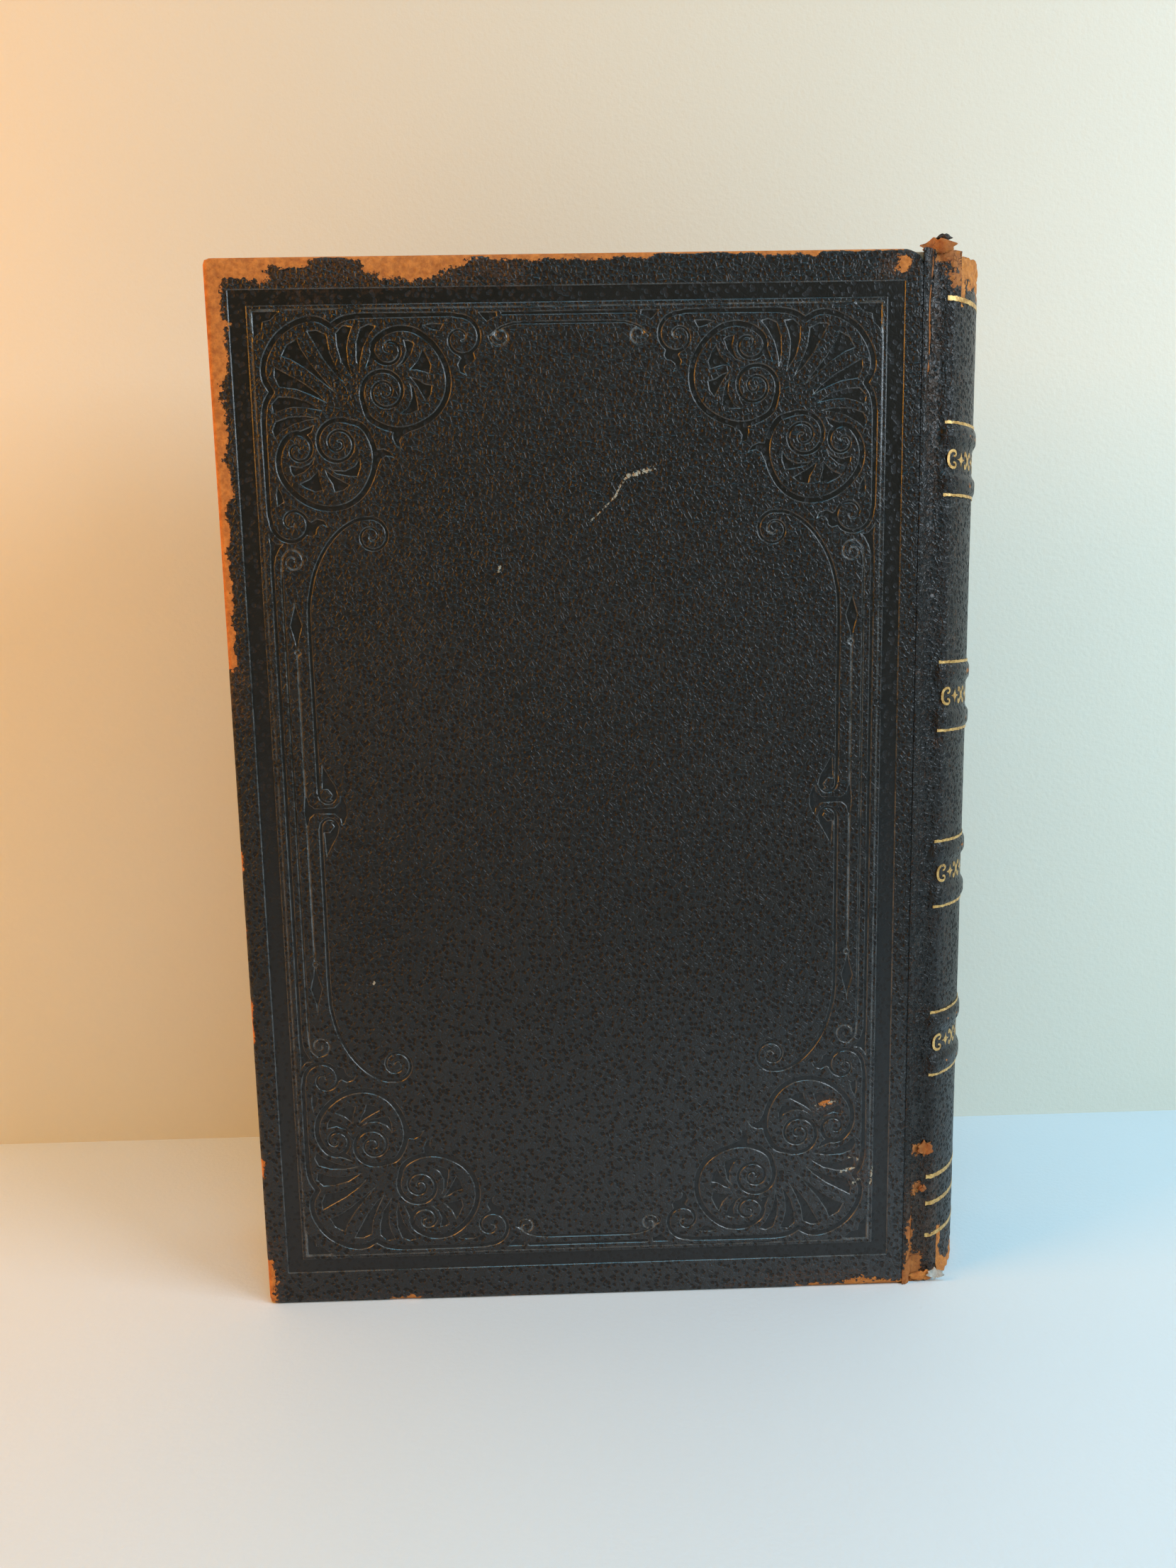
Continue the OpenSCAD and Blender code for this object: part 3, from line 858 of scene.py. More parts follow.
# Where the dye has gone: (x0, z0, x1, z1, softness), from the lower fore corner of each cover.
WORN = {
    "back": ((-2, 235.4, 14, 246, 1.6), (10, 237.6, 22.5, 246, 1.7), (38, 235.2, 50, 246, 1.8),
             (34, 237.0, 56, 246, 1.8), (31, 238.6, 61, 246, 1.6), (-6, 214, 4.1, 246, 1.5),
             (-6, 190, 3.2, 220, 1.5), (-6, 153, 2.0, 200, 1.3), (20, 239.5, 150, 246, 0.5),
             (-4, 106, 0.5, 112, 1.0), (-4, 92, 0.2, 94.5, 0.8), (-4, 66, 0.5, 77, 1.0),
             (-4, 32, 0.5, 37, 0.8), (-4, -4, 1.6, 12, 1.6), (29, -4, 36.5, 1.2, 1.2),
             (128, -4, 155, 1.2, 1.6), (134.2, 47.3, 136.1, 48.2, 0.8),
             (131.9, 46.2, 132.7, 46.9, 0.6), (148.6, 235.2, 149.9, 238.6, 1.0),
             (149.4, 236.6, 151.2, 237.6, 0.8), (-4, 234, 4, 244, 1.5), (60, 238.6, 96, 244, 1.0),
             (118, 238.8, 131, 244, 0.9), (56, -4, 72, 0.1, 0.8)),
    "front": ((-2, 237.2, 34, 244, 1.8), (70, 238.2, 112, 244, 1.2), (-4, 214, 2.2, 244, 1.6),
              (-4, 120, 0.9, 170, 1.3), (-4, 40, 0.5, 62, 1.0), (-4, -4, 2.8, 9, 1.6),
              (12, -4, 48, 0.9, 1.2), (120, -4, 155, 0.8, 1.2), (146, 234, 151, 239, 1.2)),
}
# Where it is rubbed brown, in the same way.
RUBBED = {
    "back": ((17, 227.5, 24, 237, 2.0), (-2, 232, 70, 246, 2.0), (-4, 140, 4.5, 244, 2.0),
             (130, 43, 140, 51, 2.4), (137.5, 24, 147, 36, 2.6), (-4, -4, 5, 18, 3.0),
             (8, -2, 60, 2.5, 2.6), (110, -2, 156, 3.0, 2.8), (143, 233, 153, 240, 1.5),
             (118, -2, 146, 6.0, 2.6)),
    "front": ((-2, 228, 50, 244, 3.2), (-4, 100, 4.0, 244, 2.6), (12, 30, 20, 44, 2.4),
              (120, 206, 134, 218, 2.4), (-4, -4, 6, 16, 3.0), (60, -2, 156, 2.6, 2.8)),
}


def wear(x, z, zones, spread, strength=1.0):
    """The strongest of the zones' soft masks at each point."""
    total = np.zeros(len(x))
    for *zone, soft in zones:
        total = np.maximum(total, strength * box_mask(x, z, zone, spread * soft))
    return total


def round_outline(x, z, radius):
    """Pulls the square corners of the cover in to a small arc."""
    for cx, cz, sx, sz in ((0.0, 0.0, 1, 1), (0.0, COVER_H, 1, -1), (COVER_W, 0.0, -1, 1),
                           (COVER_W, COVER_H, -1, -1)):
        r = radius if cx == 0.0 or cz == 0.0 else SPINE_CORNER_R
        a = 1 - sx * (x - cx) / r
        b = 1 - sz * (z - cz) / r
        near = (a > 0) & (b > 0)
        a2, b2 = np.clip(a, 0, 1), np.clip(b, 0, 1)
        x = np.where(near, cx + sx * r * (1 - a * np.sqrt(1 - b2 * b2 / 2)), x)
        z = np.where(near, cz + sz * r * (1 - b * np.sqrt(1 - a2 * a2 / 2)), z)
    return x, z


def lean_on_normals(piece):
    """Uses the nx, ny and nz attributes as point normals; where they are 0, the faces' by area."""
    mesh = piece.data
    count = len(mesh.vertices)
    given = np.zeros((count, 3))
    for k, key in enumerate(("nx", "ny", "nz")):
        values = np.zeros(count, np.float32)
        mesh.attributes[key].data.foreach_get("value", values)
        given[:, k] = values
    for key in ("nx", "ny", "nz"):
        mesh.attributes.remove(mesh.attributes[key])
    co = np.zeros(count * 3)
    mesh.vertices.foreach_get("co", co)
    co = co.reshape(-1, 3)
    mesh.calc_loop_triangles()
    tri = np.zeros(len(mesh.loop_triangles) * 3, np.int32)
    mesh.loop_triangles.foreach_get("vertices", tri)
    tri = tri.reshape(-1, 3)
    cross = np.cross(co[tri[:, 1]] - co[tri[:, 0]], co[tri[:, 2]] - co[tri[:, 0]])
    area = np.zeros((count, 3))
    for k in range(3):
        np.add.at(area, tri[:, k], cross)
    area /= np.maximum(np.linalg.norm(area, axis=1, keepdims=True), 1e-15)
    known = np.linalg.norm(given, axis=1, keepdims=True) > 0.5
    mesh.normals_split_custom_set_from_vertices(np.where(known, given, area).tolist())


def cover_leather(side, quarter, sunk_depth, material):
    """One cover's leather: tooled face, rounded edges and the turn-ins, as one closed skin."""
    sign = SIDES[side]
    verts, sunk, tris, tilt = quarter
    face_points, face_tris, face_sunk, face_tilt = [], [], [], []
    for mx, mz in ((1, 1), (-1, 1), (-1, -1), (1, -1)):
        base = len(face_sunk)
        face_points += [(mx * x, mz * z) for x, z in verts.tolist()]
        face_sunk += sunk.tolist()
        face_tilt += (tilt * (mx, mz) * sunk_depth).tolist()
        face_tris += [tuple(base + i for i in (t if mx * mz > 0 else t[::-1])) for t in tris]
    p = np.array(face_points)
    # merge the seams between quarters
    keys = {}
    index = np.zeros(len(p), int)
    for i, key in enumerate(map(tuple, np.round(p * 2000).astype(int).tolist())):
        index[i] = keys.setdefault(key, i)
    p_sunk = np.array(face_sunk)
    tris = [tuple(int(index[i]) for i in t) for t in face_tris]
    x, z = p[:, 0] + DESIGN_X, p[:, 1] + DESIGN_Z
    y = OUTER_Y - sunk_depth * p_sunk
    y = y + 0.05 * wave_noise(x, z, 5 if sign < 0 else 8, 60.0) - 0.05
    points = np.stack([x, y, z], 1)
    # rings from the tooled face round the edges to the board's under side
    edge = np.abs(np.abs(p[:, 0]) - QUARTER[0]) < 1e-3
    edge |= np.abs(np.abs(p[:, 1]) - QUARTER[1]) < 1e-3
    rim = sorted({int(i) for i in index[edge]},
                 key=lambda i: math.atan2(p[i, 1] / QUARTER[1], p[i, 0] / QUARTER[0]))
    rx = (p[rim, 0] / QUARTER[0] + 1) / 2
    rz = (p[rim, 1] / QUARTER[1] + 1) / 2
    # (inset at the three free edges, inset at the spine edge, height)
    inner = BOARD_Y[0]
    profile = ((1.3, 1.2, OUTER_Y - 0.05), (0.75, 0.6, OUTER_Y - 0.14), (0.3, 0.2, OUTER_Y - 0.42),
               (0.06, -0.1, OUTER_Y - 0.85), (0.0, -0.3, OUTER_Y - 1.4), (0.05, -0.3, TURN_IN_Y + 0.8),
               (0.35, -0.3, TURN_IN_Y + 0.25), (0.95, -0.3, TURN_IN_Y + 0.03), (2.0, -0.3, TURN_IN_Y),
               (12.6, -0.3, TURN_IN_Y), (13.3, -0.3, TURN_IN_Y + 0.12), (13.6, -0.3, inner - 0.02),
               (0.82, 0.0, inner - 0.02), (0.82, 0.0, BOARD_Y[1] + 0.02))
    ring_count = len(rim)
    chunks = [points]
    faces = list(tris)
    previous = rim
    total = len(points)
    wobble = wave_noise(rx * COVER_W, rz * COVER_H, 21 + sign, 17.0)
    for number, (free, spine, height) in enumerate(profile):
        ring_x = free + rx * (COVER_W - spine - free)
        ring_z = free + rz * (COVER_H - 2 * free)
        if 8 < number < 12:
            ring_x = ring_x + 0.5 * wobble * (rx < 0.5)
        chunk = np.stack([ring_x, np.full(ring_count, height), ring_z], 1)
        chunks.append(chunk)
        here = list(range(total, total + ring_count))
        for i in range(ring_count):
            j = (i + 1) % ring_count
            faces.append((previous[i], previous[j], here[j], here[i]))
        previous = here
        total += ring_count
    points = np.concatenate(chunks)
    middle = total
    points = np.concatenate([points, [[COVER_W / 2, BOARD_Y[1] + 0.02, COVER_H / 2]]])
    for i in range(ring_count):
        faces.append((previous[i], previous[(i + 1) % ring_count], middle))
    # worn corners and rounded outline
    px, pz = round_outline(points[:, 0], points[:, 2], CORNER_R)
    stamp = np.zeros(len(points))
    stamp[:len(p_sunk)] = p_sunk
    edge = np.zeros(len(points))
    edge[:len(p_sunk)] = 4 * p_sunk * (1 - p_sunk)
    worn = wear(px, pz, WORN[side], 1.9)
    rub = wear(px, pz, RUBBED[side], 2.4, 0.6)
    outer = points[:, 1] > BOARD_Y[0]
    worn = np.where(outer, worn, np.minimum(worn, 0.42))
    dip = 0.16 * smooth(0.45, 0.75, worn) * (points[:, 1] > OUTER_Y - 2)
    points = np.stack([FORE_X + px, sign * (points[:, 1] - dip), pz], 1)
    used, faces = drop_unused(faces)
    values = {"stamp": stamp[used], "worn": worn[used], "rub": rub[used], "edge": edge[used]}
    normals = np.zeros((len(used), 3))
    tilts = np.array(face_tilt)
    flat = np.stack([-tilts[:, 0], np.full(len(tilts), float(sign)), -tilts[:, 1]], 1)
    inside = np.abs(p[:, 0]) < QUARTER[0] - 0.01
    inside &= np.abs(p[:, 1]) < QUARTER[1] - 0.01
    for i, v in enumerate(used):
        if v < len(p) and inside[v]:
            normals[i] = flat[v] / np.linalg.norm(flat[v])
    values.update({"nx": normals[:, 0], "ny": normals[:, 1], "nz": normals[:, 2]})
    piece = new_piece(side + "_cover_leather", points[used], faces, material, values)
    lean_on_normals(piece)
    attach(piece, side + "_cover")
    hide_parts(side + "_leather")
    return piece


# ---------------------------------------------------------------- joints and spine

JOINT_OUTER = ((-0.55, 19.99), (0.3, 19.86), (1.0, 19.45), (1.8, 18.85), (2.9, 18.4), (4.2, 18.22),
               (5.6, 18.16), (6.9, 17.86), (7.9, 17.2), (8.72, 16.62))


def band_relief(z, angle=0.0):
    """How far the leather stands out over the raised bands' ridges, and sinks between them."""
    rise = np.zeros(np.broadcast(z, angle).shape)
    for ridge in RIDGE_Z:
        rise = rise + 0.65 * smooth(2.9, 0.9, np.abs(z - ridge))
    for centre in BAND_Z:
        rise = rise - 0.10 * smooth(3.9, 3.3, np.abs(z - centre))
    return rise


def joint_leather(side, material):
    """The strip of leather in the groove between cover and spine, creased and crazed."""
    sign = SIDES[side]
    line = smooth_line(JOINT_OUTER, 0.22)
    rows = 401
    count = len(line)
    zs = np.linspace(0.05, COVER_H - 0.05, rows)
    lx = np.array([p[0] for p in line])
    ly = np.array([p[1] for p in line])
    grid_z, grid_x = np.meshgrid(zs, lx, indexing="ij")
    grid_y = np.broadcast_to(ly, grid_z.shape).copy()
    crease = 0.16 * wave_noise(grid_z, grid_x * 3, 3 + sign, 9.0)
    crease = crease + 0.07 * wave_noise(grid_z, grid_x, 7, 2.6)
    grid_y += crease * smooth(0.2, 1.2, grid_x) * smooth(6.0, 4.2, grid_x)
    lean = 0.617 * smooth(5.0, 8.72, grid_x)
    rise = band_relief(grid_z) * smooth(4.0, 5.6, grid_x)
    grid_y += rise * np.sqrt(1 - lean * lean)
    crack_x = 1.35 + 0.3 * np.sin(grid_z / 7.3) + 0.2 * np.sin(grid_z / 2.9 + 1)
    head = smooth(190, 216, grid_z) + smooth(34, 22, grid_z) + 0.3
    crack = np.exp(-((grid_x - crack_x) / 0.22) ** 2) * np.clip(head, 0, 1)
    grid_y -= 0.34 * crack
    ends = smooth(232, 239, grid_z) + smooth(24, 4, grid_z)
    lump = wave_noise(grid_z, grid_x, 11, 5.0) * 0.3 * ends
    grid_y += lump * smooth(0.3, 1.6, grid_x)
    outer = np.stack([JOINT_X + grid_x + rise * lean, sign * grid_y, grid_z], 2).reshape(-1, 3)
    inner = np.stack([JOINT_X + grid_x, sign * grid_y, grid_z], 2).reshape(-1, 3)
    inner[:, 1] = sign * (np.broadcast_to(ly, grid_z.shape).reshape(-1) - 0.85)
    points = np.concatenate([outer, inner])
    faces = shell_faces(rows, count)
    n = rows * count
    x, z = grid_x.reshape(-1), grid_z.reshape(-1)
    broken = 0.86 + 0.30 * wave_noise(grid_z, grid_x, 61, 3.4)
    worn = (1.05 * crack * broken * (smooth(208, 222, grid_z) + smooth(24, 14, grid_z))).reshape(-1)
    back = side == "back"
    spots = ((1.4, 236.5, 9, 246, 2.8), (5.0, 230.5, 9.5, 246, 3.0), (1.0, 33, 6.5, 36.5, 1.6),
             (1.5, 22.6, 5.0, 26, 1.4), (-1, -4, 5.4, 7.0, 2.4), (-0.3, 5, 2.3, 17, 1.6))
    worn = np.maximum(worn, wear(x, z, spots if back else spots[:2] + spots[4:], 1.4, 0.8))
    rub = 0.55 * smooth(3.4, 1.0, np.abs(x - 2.2)) * (0.45 + 0.55 * smooth(150, 215, z))
    rub = np.maximum(rub, 0.6 * smooth(46, 20, z))
    values = {"stamp": np.full(2 * n, 0.25), "worn": np.tile(worn, 2), "rub": np.tile(rub, 2)}
    piece = new_piece(side + "_joint_strip", points, faces, material, values, sharp=60)
    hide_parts(side + "_joint_leather")
    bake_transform(piece)
    return piece


def back_radius(angle, z):
    """Radius of the spine leather: bands' ridges, blind lines, and wear at head and tail."""
    r = np.full(np.broadcast(angle, z).shape, BACK_R)
    r = r + band_relief(z, angle)
    for line in BLIND_Z:
        r = r - 0.22 * smooth(0.75, 0.3, np.abs(z - line))
    tear = smooth(231, 238, z) + smooth(8, 2.5, z)
    r = r + tear * (0.34 * wave_noise(angle * 0.36, z, 31, 4.2) - 0.12)
    r = r + 0.04 * wave_noise(angle * 0.36, z, 33, 9.0)
    return np.minimum(r, 22.1)


def spine_covering(material):
    """The leather of the rounded back with its ridges and torn head and tail."""
    columns, rows = 86, 440
    angles = np.linspace(-SPINE_HALF_ANGLE, SPINE_HALF_ANGLE, columns)
    base = np.linspace(0, 1, rows)
    grid_t, grid_a = np.meshgrid(base, angles, indexing="ij")
    lift_top = 0.9 * wave_noise(grid_a * 0.36, 0 * grid_a, 41, 6.0)
    lift_low = 0.7 * wave_noise(grid_a * 0.36, 0 * grid_a, 43, 5.0)
    top = COVER_H - 0.9 + lift_top * 0.9
    low = 0.35 + np.maximum(lift_low, -0.35)
    grid_z = low + grid_t * (top - low)
    outer_r = back_radius(grid_a, grid_z)
    flare = 0.5 * smooth(6, 0.5, grid_z) * smooth(-20, -50, grid_a)
    outer_r = outer_r + flare
    inner_r = np.full(grid_z.shape, SKIN_R + 0.02)
    for ridge in RIDGE_Z:
        inner_r = np.where(np.abs(grid_z - ridge) < 1.75, SKIN_R + 1.03, inner_r)
    inner_r = np.minimum(inner_r, outer_r - 0.3)

    def place(radius, z):
        a = np.radians(grid_a)
        return np.stack([ROUND_X + radius * np.cos(a), radius * np.sin(a), z], 2).reshape(-1, 3)

    n = rows * columns
    points = np.concatenate([place(outer_r, grid_z), place(inner_r, grid_z)])
    faces = shell_faces(rows, columns)
    a, z = grid_a.reshape(-1), grid_z.reshape(-1)
    arc = a * 0.368
    ragged = 3.0 * wave_noise(arc, z, 51, 7.0) + 1.4 * wave_noise(arc * 2.4, 0.4 * z, 57, 3.0)
    worn = np.maximum(smooth(231.0, 236.0, z + ragged),
                      smooth(5.5, 2.0, z + 2.0 * wave_noise(arc, z, 53, 6.0)))
    worn = np.maximum(worn, 0.8 * smooth(18, 10, z) * smooth(44, 50, np.abs(a)))
    worn = np.maximum(worn, 0.75 * smooth(224, 232, z) * smooth(40, 50, np.abs(a)))
    for ridge in RIDGE_Z:
        worn = np.maximum(worn, 0.36 * smooth(1.2, 0.3, np.abs(z - ridge)))
    peel = smooth(2.5, 0.5, np.abs(a + 12)) * smooth(30, 33, z) * smooth(52, 49, z)
    worn = np.maximum(worn, 0.7 * peel)
    stamp = np.zeros(n)
    for centre in BAND_Z:
        stamp = np.maximum(stamp, 0.85 * smooth(7.6, 7.2, np.abs(z - centre)))
    for line in BLIND_Z:
        stamp = np.maximum(stamp, smooth(0.8, 0.4, np.abs(z - line)))
    rub = np.maximum(0.5 * smooth(222, 234, z), 0.5 * smooth(22, 6, z))
    rub = np.maximum(rub, 0.34 * smooth(30, 48, np.abs(a)))
    values = {"stamp": np.tile(stamp, 2), "worn": np.tile(worn, 2), "rub": np.tile(rub, 2)}
    piece = new_piece("spine_covering", points, faces, material, values, sharp=55)
    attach(piece, "spine")
    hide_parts("spine_leather")
    return piece


def end_cap(name, z, up, seed, node, material):
    """The leather turned over the end of the back: a torn, lumpy roll."""
    columns, around = 91, 14
    angles = np.linspace(-47, 47, columns)
    points, worn = [], []
    for i, angle in enumerate(angles):
        a = math.radians(angle)
        taper = 0.35 + 0.65 * smooth(47, 40, abs(angle))
        rough = 1 + 0.22 * math.sin(angle * 0.61 + seed) + 0.16 * math.sin(angle * 1.73 + 2 * seed)
        for k in range(around):
            t = 2 * math.pi * k / around
            bump = 1 + 0.12 * math.sin(3 * t + angle * 0.4) + 0.08 * math.sin(5 * t + angle * 0.9)
            radial = 18.85 + 1.5 * taper * math.cos(t) * bump
            rise = z + up * 0.42 * taper * math.sin(t) * bump * rough
            points.append((ROUND_X + radial * math.cos(a), radial * math.sin(a), rise))
            worn.append(1.0)
    faces = []
    for i in range(columns - 1):
        for k in range(around):
            a, b = i * around + k, i * around + (k + 1) % around
            faces.append((a, b, b + around, a + around))
    faces.append(tuple(range(around)))
    faces.append(tuple(range((columns - 1) * around, columns * around)))
    values = {"stamp": np.zeros(len(points)), "worn": worn, "rub": np.full(len(points), 0.5)}
    piece = new_piece(name, points, faces, material, values)
    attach(piece, "spine")
    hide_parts(node)
    return piece


def torn_scrap(name, centre, size, seed, material, worn=1.0):
    """A small curled flap of torn leather or lining, closed and ragged."""
    columns, rows = 15, 11
    points = []
    for layer in (0.5, -0.5):
        for r in range(rows):
            for c in range(columns):
                s, t = c / (columns - 1) - 0.5, r / (rows - 1) - 0.5
                ragged = 1 + 0.16 * math.sin(9 * s + seed) + 0.14 * math.sin(11 * t + 2 * seed)
                curl = 0.9 * (t * t) + 0.35 * math.sin(5 * s + seed)
                ragged *= 1.12 * math.sqrt(1 - 0.8 * (2 * t) ** 2)
                x = centre[0] + size[0] * s * ragged
                y = centre[1] + size[1] * curl + layer * 0.28
                tall = math.sqrt(1 - 0.6 * (2 * s) ** 2) * (1 + 0.22 * math.sin(11 * s + seed))
                z = centre[2] + size[2] * t * tall
                points.append((x, y, z))
    n = rows * columns
    faces = shell_faces(rows, columns)
    values = {"stamp": np.zeros(2 * n), "worn": np.full(2 * n, worn), "rub": np.full(2 * n, 0.5)}
    piece = new_piece(name, points, faces, material, values)
    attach(piece, "spine")
    return piece


# ---------------------------------------------------------------- Geometry Nodes

def nodes_tree(name, inputs):
    """A Geometry Nodes tree with named inputs."""
    tree = bpy.data.node_groups.new(name, "GeometryNodeTree")
    tree.interface.new_socket(name="Geometry", in_out="INPUT", socket_type="NodeSocketGeometry")
    keys = {}
    for label, kind, value in inputs:
        socket = tree.interface.new_socket(name=label, in_out="INPUT", socket_type=kind)
        if value is not None:
            socket.default_value = value
        keys[label] = socket.identifier
    tree.interface.new_socket(name="Geometry", in_out="OUTPUT", socket_type="NodeSocketGeometry")
    return tree, tree.nodes.new("NodeGroupInput").outputs, tree.nodes.new("NodeGroupOutput"), keys


def bake_nodes(holder, name):
    """The evaluated result of a holder's Geometry Nodes as a plain mesh piece; the holder goes."""
    bpy.context.view_layer.update()
    graph = bpy.context.evaluated_depsgraph_get()
    mesh = bpy.data.meshes.new_from_object(holder.evaluated_get(graph))
    for modifier in list(holder.modifiers):
        holder.modifiers.remove(modifier)
    bpy.data.objects.remove(holder)
    mesh.name = name
    piece = bpy.data.objects.new(name, mesh)
    bpy.context.scene.collection.objects.link(piece)
    bm = bmesh.new()
    bm.from_mesh(mesh)
    bmesh.ops.remove_doubles(bm, verts=bm.verts, dist=1e-7)
    bm.to_mesh(mesh)
    bm.free()
    mesh.update()
    return piece


def arc_holder(name, radius, z, half_angle, count):
    """A poly line of points along an arc of the back, to carry instances."""
    mesh = bpy.data.meshes.new(name)
    points = []
    for i in range(count):
        a = math.radians(-half_angle + 2 * half_angle * i / (count - 1))
        points.append(((ROUND_X + radius * math.cos(a)) * MM, radius * math.sin(a) * MM, z * MM))
    mesh.from_pydata(points, [(i, i + 1) for i in range(count - 1)], [])
    holder = bpy.data.objects.new(name, mesh)
    bpy.context.scene.collection.objects.link(holder)
    return holder


def wound_tree():
    """Turns of thread round an arc: a ring at each point, four in every eight in a second colour."""
    inputs = [("Core radius", "NodeSocketFloat", 0.001), ("Thread radius", "NodeSocketFloat", 0.0001),
              ("Turns", "NodeSocketInt", 90), ("First material", "NodeSocketMaterial", None),
              ("Second material", "NodeSocketMaterial", None)]
    tree, source, sink, keys = nodes_tree("Wound end band", inputs)
    line = add_node(tree, "GeometryNodeMeshToCurve", {"Mesh": source["Geometry"]}).outputs[0]
    even = add_node(tree, "GeometryNodeResampleCurve", {"Curve": line, "Count": source["Turns"]}).outputs[0]
    ring = add_node(tree, "GeometryNodeCurvePrimitiveCircle",
                    {"Resolution": 12, "Radius": source["Core radius"]}).outputs[0]
    bead = add_node(tree, "GeometryNodeCurvePrimitiveCircle",
                    {"Resolution": 6, "Radius": source["Thread radius"]}).outputs[0]
    turn = add_node(tree, "GeometryNodeCurveToMesh", {"Curve": ring, "Profile Curve": bead}).outputs[0]
    tangent = tree.nodes.new("GeometryNodeInputTangent").outputs[0]
    align = add_node(tree, "FunctionNodeAlignRotationToVector", {"Vector": tangent}, axis="Z").outputs[0]
    spread = add_node(tree, "GeometryNodeInstanceOnPoints",
                      {"Points": even, "Instance": turn, "Rotation": align}).outputs[0]
    order = tree.nodes.new("GeometryNodeInputIndex").outputs[0]
    eighth = calc(tree, "MODULO", order, 8.0)
    early = add_node(tree, "FunctionNodeCompare", {2: eighth, 3: 4}, data_type="INT",
                     operation="LESS_THAN").outputs[0]
    marked = add_node(tree, "GeometryNodeStoreNamedAttribute",
                      {"Geometry": spread, "Name": "second", "Value": early},
                      data_type="BOOLEAN", domain="INSTANCE").outputs[0]
    whole = add_node(tree, "GeometryNodeRealizeInstances", {0: marked}).outputs[0]
    first = add_node(tree, "GeometryNodeSetMaterial",
                     {"Geometry": whole, "Material": source["First material"]}).outputs[0]
    pick = add_node(tree, "GeometryNodeInputNamedAttribute", {"Name": "second"},
                    data_type="BOOLEAN").outputs[0]
    second = add_node(tree, "GeometryNodeSetMaterial",
                      {"Geometry": first, "Selection": pick, "Material": source["Second material"]})
    tree.links.new(second.outputs[0], sink.inputs[0])
    return tree, keys


def tube_points(path, radius, sides=8):
    """Points and faces of a closed tube along a path of points, in millimetres."""
    path = [Vector(p) for p in path]
    points, faces = [], []
    for i, p in enumerate(path):
        ahead = path[min(i + 1, len(path) - 1)] - path[max(i - 1, 0)]
        ahead.normalize()
        upright = abs(ahead.z) > 0.9
        side_a = (ahead.orthogonal() if upright else ahead.cross(Vector((0, 0, 1)))).normalized()
        side_b = ahead.cross(side_a)
        for k in range(sides):
            t = 2 * math.pi * k / sides
            points.append(tuple(p + radius * (math.cos(t) * side_a + math.sin(t) * side_b)))
    for i in range(len(path) - 1):
        for k in range(sides):
            a, b = i * sides + k, i * sides + (k + 1) % sides
            faces.append((a, b, b + sides, a + sides))
    faces.append(tuple(range(sides)))
    faces.append(tuple(range((len(path) - 1) * sides, len(path) * sides)))
    return points, faces


def end_band(name, z, node, tree, keys, materials):
    """A worked end band: core and wound two-coloured thread."""
    holder = arc_holder(name + "_line", END_BAND_R, z, END_BAND_HALF_ANGLE, 60)
    modifier = holder.modifiers.new("Wound end band", "NODES")
    modifier.node_group = tree
    looks = bpy.context.scene.prayer_book_spine
    modifier[keys["Core radius"]] = 0.00088
    modifier[keys["Thread radius"]] = looks.thread
    length = 2 * END_BAND_HALF_ANGLE * END_BAND_R * math.pi / 180 * MM
    modifier[keys["Turns"]] = int(length / (looks.thread * 1.85))
    modifier[keys["First material"]] = materials[0]
    modifier[keys["Second material"]] = materials[1]
    piece = bake_nodes(holder, name)
    core = [(ROUND_X + END_BAND_R * math.cos(math.radians(a)), END_BAND_R * math.sin(math.radians(a)), z)
            for a in np.linspace(-49.8, 49.8, 40)]
    points, faces = tube_points(core, 0.86, 10)
    core_piece = new_piece(name + "_core", points, faces, materials[0])
    for item in (piece, core_piece):
        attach(item, "spine")
    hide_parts(node)
    return piece


